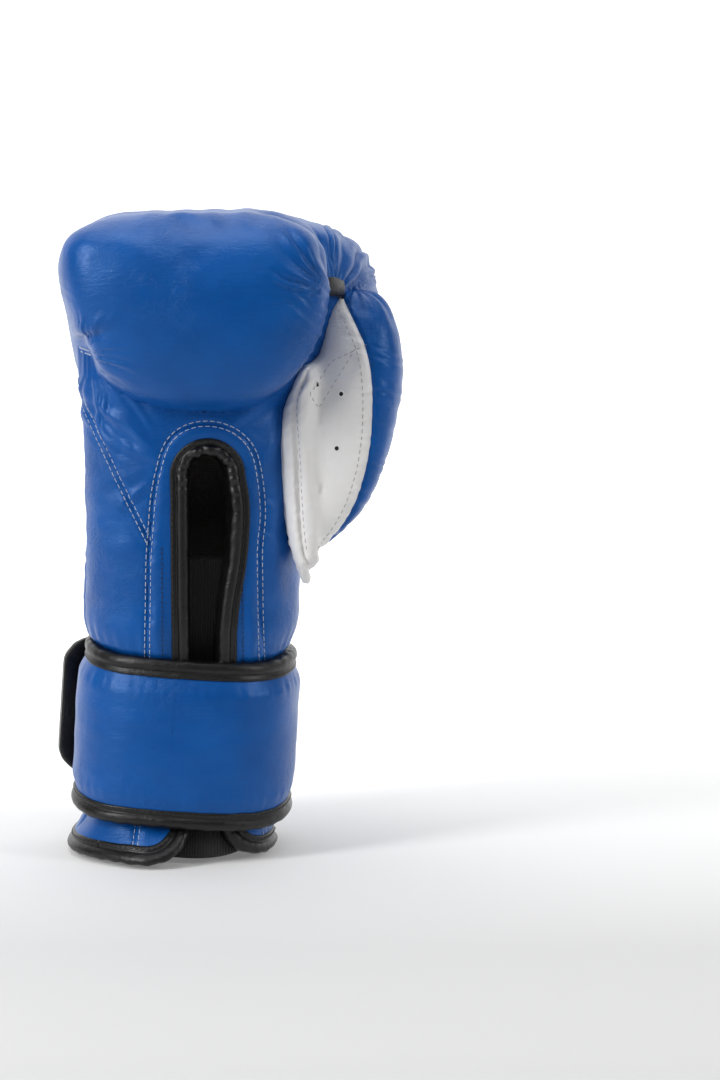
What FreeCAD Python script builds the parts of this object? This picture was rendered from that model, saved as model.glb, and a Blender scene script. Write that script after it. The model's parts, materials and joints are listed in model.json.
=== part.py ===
"""Boxing glove for the right hand, standing on its wrist hem with the fist up.

Millimetres. +Z runs from the wrist to the knuckles, -Y is the palm side, +X is the thumb side.
Everything is drawn round the wrist axis, and moved to the origin when it is exported: the origin
is the middle of the whole glove's footprint, on the plane that the hem stands on.
"""
import FreeCAD
import Part
import math
import os

from FreeCAD import Vector

os.makedirs("parts", exist_ok=True)

# ---- driving dimensions -------------------------------------------------------------------
FRAME_SHIFT = Vector(-16.533, 7.7, 0)  # from the wrist axis to the middle of the footprint
LEATHER = 1.6                         # outer leather
LINING = 1.0                          # inner fabric
WALL = 8.0                            # leather, foam and lining together at the wrist
FIST_TOP = 310.0                      # height of the glove
RECESS = 1.0                          # air round the thumb

WRIST_HALF_WIDTH = 46.0               # the wrist under the strap
WRIST_HALF_DEPTH = 40.6
WRIST_POWER = 2.5                     # 2 is an ellipse, more is squarer
LEAN_DEG = 3.9                        # the wrist leans towards the thumb side as it rises
LEAN_PIVOT = Vector(-4.3, 0, 60)      # the middle of the wrist at that height

BINDING = 1.2                         # folded leather over the slot's and hem's edge
BINDING_WIDTH = 8.5
SLOT_LEFT = 0.0                       # free gap of the wrist slot
SLOT_RIGHT = 14.3
SLOT_TOP_RIGHT = 19.0
SLOT_ARCH_Z = 185.0                   # where the arch starts
FLAP_RADIUS = 20.0                    # rounded lower corners beside the slot
TONGUE_TOP = 146.0
TONGUE_HALF_WIDTH = 21.0

STRAP_BOTTOM = 19.5
STRAP_TOP = 99.5
STRAP_GAP = 2.2                       # air between the strap and the wrist at the anchor
STRAP_SPIRAL = 1.2                    # extra air gained along the wrap
STRAP_BACK = 1.0
STRAP_PAD = 2.5
STRAP_FACE = 1.2
STRAP_LIP = 0.8                       # the strap's binding stands this proud of it
STRAP_START = 168.0                   # section angles of the wrapped stretch, in degrees
STRAP_END = 472.0
STRAP_SEGMENTS = 7
TAB_ON_WRAP = 27.0                    # wrapped length of the tab
TAB_STRAIGHT = 41.5                   # straight end of the tab
TAB_RADIUS = 15.0
TAB_TOP = 94.0                        # the tab narrows to these heights at its tip
TAB_BOTTOM = 24.5
FOLD_GAP = 0.5                        # gap between strap segments
PATCH = 1.1                           # hook and loop patches
VENT_RADIUS = 1.1
VENT_FROM_Y = -70.0                   # the vent holes are cut from here, this far in
VENT_DEPTH = 40.0

POINTS_PER_SECTION = 20
FAR = 200.0

# Sleeve: height, centre x, half width, front y, back y, power
SLEEVE = [
    (-8, -12.3, 49.0, -41.2, 42.0, 2.5),
    (6, -11.6, 49.0, -41.2, 42.0, 2.5),
    (17, -7.2, WRIST_HALF_WIDTH, -WRIST_HALF_DEPTH, WRIST_HALF_DEPTH, WRIST_POWER),
    (60, -4.3, WRIST_HALF_WIDTH, -WRIST_HALF_DEPTH, WRIST_HALF_DEPTH, WRIST_POWER),
    (103, -1.4, WRIST_HALF_WIDTH, -WRIST_HALF_DEPTH, WRIST_HALF_DEPTH, WRIST_POWER),
    (118, -0.7, 51.6, -43.7, 45.0, 2.5),
    (150, -0.4, 52.9, -44.5, 51.0, 2.6),
    (190, -0.6, 53.4, -45.0, 58.0, 2.6),
    (225, -1.0, 54.0, -45.5, 61.0, 2.6),
    (250, -1.0, 52.0, -44.0, 57.0, 2.6),
]
# Fist: y, left x, right x, bottom z, top z, widest z, power of the lower half and of the upper
FIST = [
    (-79, -20, 34, 252, 288, 274, 2.0, 2.2),
    (-77, -37, 50, 238, 297, 277, 2.0, 2.4),
    (-71, -51, 61, 226, 303, 280, 2.1, 2.6),
    (-61, -59.5, 66, 218, 307.5, 282, 2.2, 2.9),
    (-46, -62.0, 68.5, 216, FIST_TOP, 283, 2.3, 3.0),
    (-25, -62.0, 70.5, 214, FIST_TOP, 283, 2.3, 3.0),
    (0, -61.0, 79, 208, 308.5, 281, 2.3, 2.9),
    (22, -60.0, 90, 192, 303, 276, 2.3, 2.8),
    (40, -57.0, 92, 172, 292, 265, 2.3, 2.6),
    (53, -50.0, 80, 168, 278, 247, 2.2, 2.4),
    (61, -36.0, 58, 190, 262, 233, 2.1, 2.2),
    (63.6, -18.0, 36, 207, 247, 227, 2.0, 2.0),
]
# Thumb: height, inner x, outer x, front y, back y
THUMB = [
    (139, 56.5, 59, -17, -9),
    (147, 55.6, 64, -25, -2),
    (157, 55.2, 75, -32, 3),
    (171, 55.3, 86, -37, 7),
    (194, 55.8, 95, -40, 10),
    (218, 56.4, 100.6, -41, 11),
    (234, 57.4, 101.5, -41, 11),
    (252, 59.5, 98, -38, 9),
    (264, 64, 94.5, -33, 6),
    (271, 69, 89.5, -26, 1),
    (274, 74, 84.5, -18, -6),
]
THUMB_SHEAR = 0.2                     # the palm side of the thumb leans towards the palm
THUMB_WALL = 8.5                      # leather and foam round the thumb's room
THUMB_ROOM_FIRST = 3                  # sections of THUMB between which that room lies
THUMB_ROOM_LAST = 7
# Hand room, to the outside of its lining: height, left x, right x, front y, back y
HAND = [
    (122, -44.6, 43.4, -36.5, 38.5),
    (150, -46, 45, -37.5, 39),
    (190, -46.5, 45, -38, 35),
    (225, -46.5, 45.5, -38.5, 29),
    (250, -43, 45, -42, 20),
    (268, -34, 38, -36, 8),
    (274, -18, 22, -28, -6),
]
WRIST_SECTIONS = 5                    # sections of SLEEVE that the hand room follows
# White leather strip between palm and thumb: height, centre x, half width
GUSSET = [(134, 54.0, 1.0), (142, 53.0, 3.6), (158, 50.4, 5.6), (180, 48.8, 6.2),
          (205, 48.4, 6.2), (226, 50.3, 5.6), (240, 53.0, 3.0)]
GUSSET_Y = -33.0
GUSSET_REACH = 8.5
TIE_BOX = (66, 77, -38, -16, 265, 275)  # strap that keeps the thumb by the fist
LOOP_BOX = (-40, 6, 20, 60, 28, 92)     # loop patch on the back of the wrist
GRIP_RADIUS = 9.0                     # padded bar under the fingers
GRIP_LENGTH = 64.0
GRIP_Y = -27.0
GRIP_Z = 224.0
# White part of the thumb's shell: its edge as height and x
THUMB_SEAM = [(146, 60.0), (151, 67.3), (161, 74.4), (175, 81.0), (192, 85.5), (206, 87.2),
              (220, 87.6), (234, 86.6), (244, 84.4), (253, 80.6), (267, 74.0)]
THUMB_SEAM_Y = -15.0
THUMB_VENTS = [(61.3, 227.4), (72.6, 223.1), (70.5, 197.3)]
PALM_VENTS = [(8.0, 212.0), (13.0, 219.0), (-2.0, 217.0)]
# Seam round the slot's facing, up the left side and down the right, in x and height
FACING_SEAM = [(-27, -20), (-23.5, 35), (-19.8, 99), (-18.8, 145), (-16.2, 177), (-10.4, 199.8),
               (4, 209.6), (13.5, 209.6), (27.7, 202.2), (33.9, 185), (35.5, 167), (33.8, 148),
               (33.9, 121), (34.3, 99), (35, 35), (36, -20)]
# Seam between the side panel and the palm, from its upper end down behind the facing
SIDE_SEAM = [(-53, 216), (-17.5, 147), (-17.5, -20)]
# Heights and depth that part the leather panels and the foam blocks
LIP_Y = -47.5                         # in front of this the fist overhangs the palm
LIP_BOTTOM = 200.0
PALM_TOP = 229.0
BACK_TOP = 150.0
CUFF_TOP = 119.0
KNUCKLE_BOTTOM = 200.0
KNUCKLE_PAD = 12.0
HIGH = 400.0
LOW = -20.0


# ---- sections and lofts -------------------------------------------------------------------
def signed_power(value, power):
    return math.copysign(abs(value) ** power, value)


def oval(low_a, high_a, low_b, high_b, mid_b, power_low, power_high, place):
    """A closed rounded section from low_a to high_a and low_b to high_b, widest at mid_b."""
    centre, half = (low_a + high_a) / 2, (high_a - low_a) / 2
    points = []
    for k in range(POINTS_PER_SECTION):
        angle = 2 * math.pi * k / POINTS_PER_SECTION
        c, s = math.cos(angle), math.sin(angle)
        power = power_high if s > 0 else power_low
        reach = high_b - mid_b if s > 0 else mid_b - low_b
        points.append(place(centre + half * signed_power(c, 2 / power),
                            mid_b + reach * signed_power(s, 2 / power)))
    curve = Part.BSplineCurve()
    curve.interpolate(Points=points, PeriodicFlag=True)
    return Part.Wire(curve.toShape())


def loft(wires):
    return Part.makeLoft(wires, True, False)


def box(x0, x1, y0, y1, z0, z1):
    return Part.makeBox(x1 - x0, y1 - y0, z1 - z0, Vector(x0, y0, z0))


def without(shape, others):
    for other in others:
        shape = shape.cut(other)
    return shape


def sleeve(inset):
    """The wrist and hand, without the fist, drawn in by inset."""
    wires = []
    for z, x, half, front, back, power in SLEEVE:
        level = min(z, SLEEVE[-1][0] - inset)
        wires.append(oval(x - half + inset, x + half - inset, front + inset, back - inset, 0,
                          power, power, lambda a, b, level=level: Vector(a, b, level)))
    return loft(wires)


def fist(inset):
    """The padded fist, curled over the palm, drawn in by inset."""
    wires = []
    last = len(FIST) - 1
    for k, (y, left, right, bottom, top, wide, low, high) in enumerate(FIST):
        level = y + inset * (1 - 2 * k / last)
        wires.append(oval(left + inset, right - inset, bottom + inset, top - inset, wide,
                          low, high, lambda a, b, level=level: Vector(a, level, b)))
    return loft(wires)


def thumb(inset):
    """The thumb, drawn in by inset, or blown up by a negative one."""
    wires = []
    middle = (THUMB[0][0] + THUMB[-1][0]) / 2
    reach = (THUMB[-1][0] - THUMB[0][0]) / 2
    for z, inner, outer, front, back in THUMB:
        level = z - inset * (z - middle) / reach
        room = min(inset, (outer - inner) / 2 - 0.6, (back - front) / 2 - 0.6)
        mid = (front + back) / 2
        wires.append(oval(inner + room, outer - room, front + room, back - room, mid, 2.5, 2.3,
                          lambda a, b, level=level, mid=mid:
                          Vector(a + THUMB_SHEAR * (b - mid), b, level)))
    return loft(wires)


def hand_room(inset):
    """The room for the hand. At inset 0 it is the outside of the lining."""
    wires = []
    reach = WALL - LINING + inset
    for z, x, half, front, back, power in SLEEVE[:WRIST_SECTIONS]:
        wires.append(oval(x - half + reach, x + half - reach, front + reach, back - reach, 0,
                          power, power, lambda a, b, z=z: Vector(a, b, z)))
    for z, left, right, front, back in HAND:
        level = min(z, HAND[-1][0] - inset)
        wires.append(oval(left + inset, right - inset, front + inset, back - inset,
                          (front + back) / 2, 2.4, 2.4,
                          lambda a, b, level=level: Vector(a, b, level)))
    return loft(wires)


# ---- the wrist slot ------------------------------------------------------------------------
def slot_sides(grow):
    """Edges up the left side of the slot, over its arch and down its right side, grown outward."""
    left, right, high = SLOT_LEFT - grow, SLOT_RIGHT + grow, SLOT_TOP_RIGHT + grow
    crown = Vector((left + high) / 2, 0, SLOT_ARCH_Z + (high - left) / 2)
    side = Part.BSplineCurve()
    side.interpolate(Points=[Vector(high, 0, SLOT_ARCH_Z), Vector(high + 2.2, 0, 168),
                             Vector(high + 1.0, 0, 148), Vector(right + 1.4, 0, 120),
                             Vector(right, 0, 98), Vector(right, 0, FLAP_RADIUS)])
    return [
        Part.LineSegment(Vector(left, 0, FLAP_RADIUS), Vector(left, 0, SLOT_ARCH_Z)).toShape(),
        Part.Arc(Vector(left, 0, SLOT_ARCH_Z), crown, Vector(high, 0, SLOT_ARCH_Z)).toShape(),
        side.toShape(),
    ]


def prism_to_front(edges, points):
    """A prism through the palm side. Its outline is edges, closed by straight lines through points."""
    first = edges[0].Vertexes[0].Point
    last = edges[-1].Vertexes[-1].Point
    corners = [last] + points + [first]
    lines = [Part.LineSegment(a, b).toShape() for a, b in zip(corners, corners[1:])]
    return Part.Face(Part.Wire(edges + lines)).extrude(Vector(0, -FAR, 0))


def opening_zone(grow):
    """Everything within grow of the glove's free edge: the slot, the flaps' corners and the hem."""
    radius = FLAP_RADIUS - grow
    slant = radius / math.sqrt(2)
    left, right = SLOT_LEFT - FLAP_RADIUS, SLOT_RIGHT + FLAP_RADIUS
    corner_left = Part.Arc(Vector(left, 0, grow), Vector(left + slant, 0, FLAP_RADIUS - slant),
                           Vector(left + radius, 0, FLAP_RADIUS)).toShape()
    corner_right = Part.Arc(Vector(right - radius, 0, FLAP_RADIUS),
                            Vector(right - slant, 0, FLAP_RADIUS - slant),
                            Vector(right, 0, grow)).toShape()
    front = prism_to_front([corner_left] + slot_sides(grow) + [corner_right],
                           [Vector(FAR, 0, grow), Vector(FAR, 0, -20),
                            Vector(-FAR, 0, -20), Vector(-FAR, 0, grow)])
    return front.fuse(box(-FAR, FAR, 0, FAR, -20, grow))


def edge_binding():
    """Black leather folded over the edge of the slot and the hem, in one strip."""
    wall = sleeve(0).cut(hand_room(LINING))
    rim = opening_zone(BINDING_WIDTH).cut(opening_zone(0))
    lips = sleeve(-BINDING).cut(hand_room(LINING + BINDING)).common(rim).cut(wall)
    fold = wall.common(opening_zone(BINDING).cut(opening_zone(0)))
    return lips.fuse(fold)


def tongue():
    """Stretch gusset that closes the lower part of the slot from inside."""
    middle = (SLOT_LEFT + SLOT_RIGHT) / 2
    band = hand_room(LINING + BINDING + 0.1).cut(hand_room(LINING + 2 * BINDING + 0.1))
    return band.common(box(middle - TONGUE_HALF_WIDTH, middle + TONGUE_HALF_WIDTH, -FAR, 0,
                           1.5, TONGUE_TOP))


# ---- leather, foam and lining --------------------------------------------------------------
def thumb_passage():
    """The way from the hand room into the thumb."""
    return box(38, 72, -26, -6, 173, 205)


def thumb_room(inset):
    """The room for the user's thumb. At inset 0 it is the outside of the lining."""
    wires = []
    ends = THUMB[THUMB_ROOM_FIRST][0], THUMB[THUMB_ROOM_LAST][0]
    for z, inner, outer, front, back in THUMB[THUMB_ROOM_FIRST:THUMB_ROOM_LAST + 1]:
        level = min(max(z, ends[0] + inset), ends[1] - inset)
        room = THUMB_WALL + inset
        mid = (front + back) / 2
        wires.append(oval(inner + room, outer - room, front + room, back - room, mid, 2.3, 2.3,
                          lambda a, b, level=level, mid=mid:
                          Vector(a + THUMB_SHEAR * (b - mid), b, level)))
    return loft(wires)


def facing_zone():
    """Everything in front that lies within the seam of the slot's facing."""
    seam = Part.BSplineCurve()
    seam.interpolate(Points=[Vector(x, 0, z) for x, z in FACING_SEAM])
    return prism_to_front([seam.toShape()], [])


def side_zone():
    """Everything in front that lies left of the palm's seam."""
    first, last = SIDE_SEAM[0], SIDE_SEAM[-1]
    outline = [(-FAR, first[1])] + SIDE_SEAM + [(-FAR, last[1]), (-FAR, first[1])]
    wire = Part.makePolygon([Vector(x, 0, z) for x, z in outline])
    return Part.Face(wire).extrude(Vector(0, -FAR, 0))


def with_holes(panel, places):
    """A panel with a ventilation hole through its front at each place."""
    holes = [Part.makeCylinder(VENT_RADIUS, VENT_DEPTH, Vector(x, VENT_FROM_Y, z), Vector(0, 1, 0))
             for x, z in places]
    return without(panel, holes)


def panels():
    """The outer leather, cut into its panels, and the space inside it."""
    outer = sleeve(0).fuse(fist(0)).cut(thumb(-RECESS))
    inner = sleeve(LEATHER).fuse(fist(LEATHER)).cut(thumb(-RECESS - LEATHER))
    shell = outer.cut(inner).cut(opening_zone(BINDING)).cut(thumb_passage())
    over_fist = box(-FAR, FAR, -FAR, LIP_Y, LIP_BOTTOM, HIGH)
    over_fist = over_fist.fuse(box(-FAR, FAR, LIP_Y, 0, PALM_TOP, HIGH))
    over_fist = over_fist.fuse(box(-FAR, FAR, 0, FAR, BACK_TOP, HIGH))
    fist_cover = shell.common(over_fist)
    rest = shell.cut(over_fist)
    back_panel = rest.common(box(-FAR, FAR, 0, FAR, LOW, HIGH))
    front = rest.common(box(-FAR, FAR, -FAR, 0, LOW, HIGH))
    around_slot = facing_zone()
    facing = front.common(around_slot)
    front = front.cut(around_slot)
    left = side_zone()
    return {"fist_cover": fist_cover, "back_panel": back_panel, "slot_facing": facing,
            "side_panel": front.common(left),
            "palm_panel": with_holes(front.cut(left), PALM_VENTS)}, inner


def pads(inner):
    """Foam between the leather and the lining."""
    foam = inner.cut(hand_room(0)).cut(opening_zone(BINDING)).cut(thumb_passage())
    cuff_zone = box(-FAR, FAR, -FAR, FAR, LOW, CUFF_TOP)
    palm_zone = box(-FAR, FAR, LIP_Y + LEATHER, 0, CUFF_TOP, PALM_TOP)
    knuckle_zone = hand_room(-KNUCKLE_PAD).common(box(-FAR, FAR, -FAR, FAR, KNUCKLE_BOTTOM, HIGH))
    rest = foam.cut(cuff_zone).cut(palm_zone)
    return {"cuff_foam": foam.common(cuff_zone), "palm_foam": foam.common(palm_zone),
            "knuckle_foam": rest.common(knuckle_zone), "fist_foam": rest.cut(knuckle_zone)}


def lining():
    """Fabric sack for the hand, with its slot and its way to the thumb."""
    sack = hand_room(0).cut(hand_room(LINING))
    return sack.cut(opening_zone(BINDING)).cut(thumb_passage())


def grip_roll():
    """Padded bar across the palm that the fingers close on."""
    start = Vector(-GRIP_LENGTH / 2, GRIP_Y, GRIP_Z)
    bar = Part.makeCylinder(GRIP_RADIUS, GRIP_LENGTH, start, Vector(1, 0, 0))
    return bar.makeFillet(GRIP_RADIUS / 2, bar.Edges).common(hand_room(LINING))


def thumb_pieces():
    shell = thumb(0).cut(thumb(LEATHER)).cut(thumb_passage())
    seam = Part.BSplineCurve()
    seam.interpolate(Points=[Vector(x, THUMB_SEAM_Y, z) for z, x in THUMB_SEAM])
    top, bottom = THUMB_SEAM[-1], THUMB_SEAM[0]
    white_zone = Part.Face(Part.Wire([
        seam.toShape(),
        Part.LineSegment(Vector(top[1], THUMB_SEAM_Y, top[0]), Vector(0, THUMB_SEAM_Y, top[0])).toShape(),
        Part.LineSegment(Vector(0, THUMB_SEAM_Y, top[0]), Vector(0, THUMB_SEAM_Y, bottom[0])).toShape(),
        Part.LineSegment(Vector(0, THUMB_SEAM_Y, bottom[0]),
                         Vector(bottom[1], THUMB_SEAM_Y, bottom[0])).toShape(),
    ])).extrude(Vector(0, -FAR, 0))
    panel = with_holes(shell.common(white_zone), THUMB_VENTS)
    foam = thumb(LEATHER).cut(thumb_room(0)).cut(thumb_passage())
    sack = thumb_room(0).cut(thumb_room(LINING)).cut(thumb_passage())
    return {"thumb_cover": shell.cut(white_zone), "thumb_panel": panel, "thumb_foam": foam,
            "thumb_lining": sack}


def thumb_gusset():
    """Soft white roll that joins the thumb to the palm."""
    wires = [oval(x - half, x + half, GUSSET_Y - GUSSET_REACH, GUSSET_Y + GUSSET_REACH, GUSSET_Y,
                  2.0, 2.0, lambda a, b, z=z: Vector(a, b, z)) for z, x, half in GUSSET]
    roll = loft(wires).cut(sleeve(-0.1)).cut(fist(-0.1)).cut(thumb(-RECESS))
    return max(roll.Solids, key=lambda solid: solid.Volume)


def thumb_tie():
    """Short black strap that keeps the thumb's tip by the fist."""
    strap = box(*TIE_BOX)
    tie = strap.cut(fist(-0.1).cut(thumb(-RECESS))).cut(thumb(-0.4))
    return max(tie.Solids, key=lambda solid: solid.Volume)


# ---- the wrist strap -----------------------------------------------------------------------
class StrapPath:
    """The inner face of the strap seen from above, by length along it. It turns anticlockwise."""

    STEPS = 600

    def __init__(self):
        turns = [math.radians(STRAP_START + (STRAP_END - STRAP_START) * k / self.STEPS)
                 for k in range(self.STEPS + 1)]
        self.points = []
        for k, t in enumerate(turns):
            room = STRAP_GAP + STRAP_SPIRAL * k / self.STEPS
            x = (WRIST_HALF_WIDTH + room) * signed_power(math.cos(t), 2 / WRIST_POWER)
            y = (WRIST_HALF_DEPTH + room) * signed_power(math.sin(t), 2 / WRIST_POWER)
            self.points.append(Vector(x, y, 0))
        heading = (self.points[-1] - self.points[-4]).normalize()
        self.wrapped = sum((b - a).Length for a, b in zip(self.points, self.points[1:]))
        end = self.points[-1]
        steps = 60
        self.points += [end + heading * (TAB_STRAIGHT * (k + 1) / steps) for k in range(steps)]
        self.lengths = [0.0]
        for a, b in zip(self.points, self.points[1:]):
            self.lengths.append(self.lengths[-1] + (b - a).Length)
        self.total = self.lengths[-1]

    def at(self, s):
        """Point and outward normal at length s."""
        k = 1
        while k < len(self.lengths) - 1 and self.lengths[k] < s:
            k += 1
        a, b = self.points[k - 1], self.points[k]
        share = (s - self.lengths[k - 1]) / (self.lengths[k] - self.lengths[k - 1])
        lo, hi = max(k - 5, 0), min(k + 5, len(self.points) - 1)
        along = (self.points[hi] - self.points[lo]).normalize()
        return a + (b - a) * share, Vector(along.y, -along.x, 0)


PATH = StrapPath()
STRAP_THICK = STRAP_BACK + STRAP_PAD + STRAP_FACE
TAB_START = PATH.wrapped - TAB_ON_WRAP
SEGMENT = TAB_START / STRAP_SEGMENTS


def strap_band(s0, s1, inner, outer, low, high):
    """Strap material between two lengths, two depths and two heights, before it leans."""
    count = 8
    stations = [s0 + (s1 - s0) * k / (count - 1) for k in range(count)]

    def side(depth):
        points = []
        for s in stations:
            point, normal = PATH.at(s)
            points.append(Vector(0, 0, low) + point + normal * depth)
        return points

    inside, outside = side(inner), side(outer)
    curves = []
    for points in (inside, outside):
        curve = Part.BSplineCurve()
        curve.interpolate(Points=points)
        curves.append(curve.toShape())
    ends = [Part.LineSegment(inside[k], outside[k]).toShape() for k in (0, -1)]
    face = Part.Face(Part.Wire([curves[0], ends[1], curves[1], ends[0]]))
    return face.extrude(Vector(0, 0, high - low))


def strap_layers(s0, s1, edge):
    """Face, pad and back of a stretch, edge short of the strap's full height on both sides."""
    low, high = STRAP_BOTTOM + edge, STRAP_TOP - edge
    depths = [0, STRAP_BACK, STRAP_BACK + STRAP_PAD, STRAP_THICK]
    names = ["back", "pad", "face"]
    return {n: strap_band(s0, s1, a, b, low, high) for n, a, b in zip(names, depths, depths[1:])}


def strap_edging(s0, s1, layers):
    """The folded binding along both edges of a stretch, round its layers."""
    whole = strap_band(s0, s1, -STRAP_LIP, STRAP_THICK + STRAP_LIP, STRAP_BOTTOM, STRAP_TOP)
    window = strap_band(s0 - 1, s1 + 1, -5, STRAP_THICK + 5, STRAP_BOTTOM + BINDING_WIDTH,
                        STRAP_TOP - BINDING_WIDTH)
    return without(whole.cut(window), layers)


def tab_outline(shrink):
    """Prism across the tab with the tab's narrower, rounded end, drawn in by shrink."""
    tip, normal = PATH.at(PATH.total)
    along = Vector(-normal.y, normal.x, 0)
    origin = tip - normal * 60

    def spot(back, z):
        return origin - along * back + Vector(0, 0, z)

    bend = TAB_RADIUS * (1 - 1 / math.sqrt(2))
    shoulder = TAB_STRAIGHT + TAB_ON_WRAP / 2
    far = 120
    edges = [
        Part.LineSegment(spot(far, STRAP_BOTTOM), spot(shoulder, STRAP_BOTTOM)).toShape(),
        Part.LineSegment(spot(shoulder, STRAP_BOTTOM), spot(TAB_RADIUS, TAB_BOTTOM)).toShape(),
        Part.Arc(spot(TAB_RADIUS, TAB_BOTTOM), spot(bend, TAB_BOTTOM + bend),
                 spot(0, TAB_BOTTOM + TAB_RADIUS)).toShape(),
        Part.LineSegment(spot(0, TAB_BOTTOM + TAB_RADIUS), spot(0, TAB_TOP - TAB_RADIUS)).toShape(),
        Part.Arc(spot(0, TAB_TOP - TAB_RADIUS), spot(bend, TAB_TOP - bend),
                 spot(TAB_RADIUS, TAB_TOP)).toShape(),
        Part.LineSegment(spot(TAB_RADIUS, TAB_TOP), spot(shoulder, STRAP_TOP)).toShape(),
        Part.LineSegment(spot(shoulder, STRAP_TOP), spot(far, STRAP_TOP)).toShape(),
        Part.LineSegment(spot(far, STRAP_TOP), spot(far, STRAP_BOTTOM)).toShape(),
    ]
    face = Part.Face(Part.Wire(edges))
    if shrink > 0:
        face = face.makeOffset2D(-shrink)
    return face.extrude(normal * 120)


def strap():
    """Every node of the strap, segment by segment, and its tab."""
    nodes = {}
    for k in range(STRAP_SEGMENTS):
        s0 = SEGMENT * k + FOLD_GAP / 2
        s1 = SEGMENT * (k + 1) - FOLD_GAP / 2
        layers = strap_layers(s0, s1, BINDING)
        for name, shape in layers.items():
            nodes[f"strap_{name}_{k + 1}"] = shape
        nodes[f"strap_binding_{k + 1}"] = strap_edging(s0, s1, layers.values())
    s0, s1 = TAB_START + FOLD_GAP / 2, PATH.total
    core_outline = tab_outline(BINDING)
    layers = {f"tab_{name}": shape.common(core_outline)
              for name, shape in strap_layers(s0, s1, 0).items()}
    whole = strap_band(s0, s1, -STRAP_LIP, STRAP_THICK + STRAP_LIP, STRAP_BOTTOM, STRAP_TOP)
    rim = whole.common(tab_outline(0)).cut(tab_outline(BINDING_WIDTH))
    nodes.update(layers)
    nodes["tab_binding"] = without(rim, layers.values())
    hook = strap_band(s0 + 3, s1, -PATCH, STRAP_BACK, STRAP_BOTTOM, STRAP_TOP)
    hook = hook.common(tab_outline(BINDING_WIDTH + 1))
    nodes["hook_patch"] = without(hook, layers.values())
    nodes["strap_anchor"] = strap_band(-9, -FOLD_GAP / 2, 0.2 - STRAP_GAP, STRAP_THICK,
                                       STRAP_BOTTOM, STRAP_TOP)
    for shape in nodes.values():
        shape.rotate(Vector(0, 0, LEAN_PIVOT.z), Vector(0, 1, 0), LEAN_DEG)
        shape.translate(Vector(LEAN_PIVOT.x, 0, 0))
    return nodes


def loop_patch():
    """Loop strip on the back of the wrist that the hooks grip."""
    skin = sleeve(-PATCH).cut(sleeve(0))
    return skin.common(box(*LOOP_BOX))


# ---- export --------------------------------------------------------------------------------
def build():
    nodes, inner = panels()
    nodes.update(pads(inner))
    nodes.update({"hand_lining": lining(), "grip_roll": grip_roll(), "tongue": tongue(),
                  "edge_binding": edge_binding(), "loop_patch": loop_patch(),
                  "thumb_gusset": thumb_gusset(), "thumb_tie": thumb_tie()})
    nodes.update(thumb_pieces())
    nodes.update(strap())
    return nodes


def export(nodes):
    whole = []
    for name, shape in nodes.items():
        placed = shape.copy()
        placed.translate(FRAME_SHIFT)
        solids = [solid for solid in placed.Solids if solid.Volume > 1.0]
        print(f"{name:18s} solids {len(solids)} of {len(placed.Solids)}"
              f" volume {placed.Volume / 1000:8.2f} cm3 valid {placed.isValid()}")
        Part.makeCompound(solids).exportStep(f"parts/{name}.step")
        whole += solids
    bounds = Part.makeCompound(whole).optimalBoundingBox(False, False)
    print("bounds", bounds)


if __name__ == "__main__":
    export(build())
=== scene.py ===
"""Looks of a right-hand boxing glove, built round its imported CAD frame.

The soft forms are worked out in millimetres round the wrist axis, the way the CAD draws them, and
become metres in the frame's own axes when they are made into objects. +Z runs from the wrist to the
knuckles, -Y is the palm side and +X the thumb side.
"""
import json
import math

import bpy
import numpy as np
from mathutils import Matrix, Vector, noise
from mathutils.bvhtree import BVHTree
from mathutils.kdtree import KDTree


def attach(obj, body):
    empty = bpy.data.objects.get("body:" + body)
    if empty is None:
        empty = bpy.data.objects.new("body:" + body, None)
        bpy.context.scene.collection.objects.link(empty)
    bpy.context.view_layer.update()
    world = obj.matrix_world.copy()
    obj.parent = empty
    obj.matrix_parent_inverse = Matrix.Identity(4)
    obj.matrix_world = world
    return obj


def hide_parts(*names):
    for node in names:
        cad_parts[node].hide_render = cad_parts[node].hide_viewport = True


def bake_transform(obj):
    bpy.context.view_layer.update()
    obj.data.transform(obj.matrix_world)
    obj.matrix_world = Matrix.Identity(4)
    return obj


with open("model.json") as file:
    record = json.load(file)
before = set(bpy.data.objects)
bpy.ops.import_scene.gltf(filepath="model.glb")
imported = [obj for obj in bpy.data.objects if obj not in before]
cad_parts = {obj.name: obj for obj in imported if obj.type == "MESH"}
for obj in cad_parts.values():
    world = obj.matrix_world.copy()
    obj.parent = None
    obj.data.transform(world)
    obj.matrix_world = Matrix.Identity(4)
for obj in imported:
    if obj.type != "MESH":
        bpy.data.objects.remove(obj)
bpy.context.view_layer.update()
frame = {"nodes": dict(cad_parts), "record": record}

# ---- sizes, in millimetres ------------------------------------------------------------------
WRIST_AXIS = np.array([-16.533, 7.7, 0.0])   # where the wrist axis stands in the frame
TO_METRES = 0.001
WRIST_POWER = 2.5
WALL = 8.0                # padded wall that the binding folds over
LINING_DEPTH = 1.0
UNDER_FIST_Z = 200.0      # where the fist's cover starts, under its overhang
FIST_EDGE_Z = 228.5       # its lower edge on the little-finger side
BACK_EDGE_Z = 151.0       # its lower edge on the back
PALM_RAY_START = -200.0   # y of a spot well in front of the palm

SLOT_LEFT = 0.0
SLOT_RIGHT = 14.3
SLOT_TOP_RIGHT = 19.0
SLOT_ARCH_Z = 185.0
FLAP_RADIUS = 20.0

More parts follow.
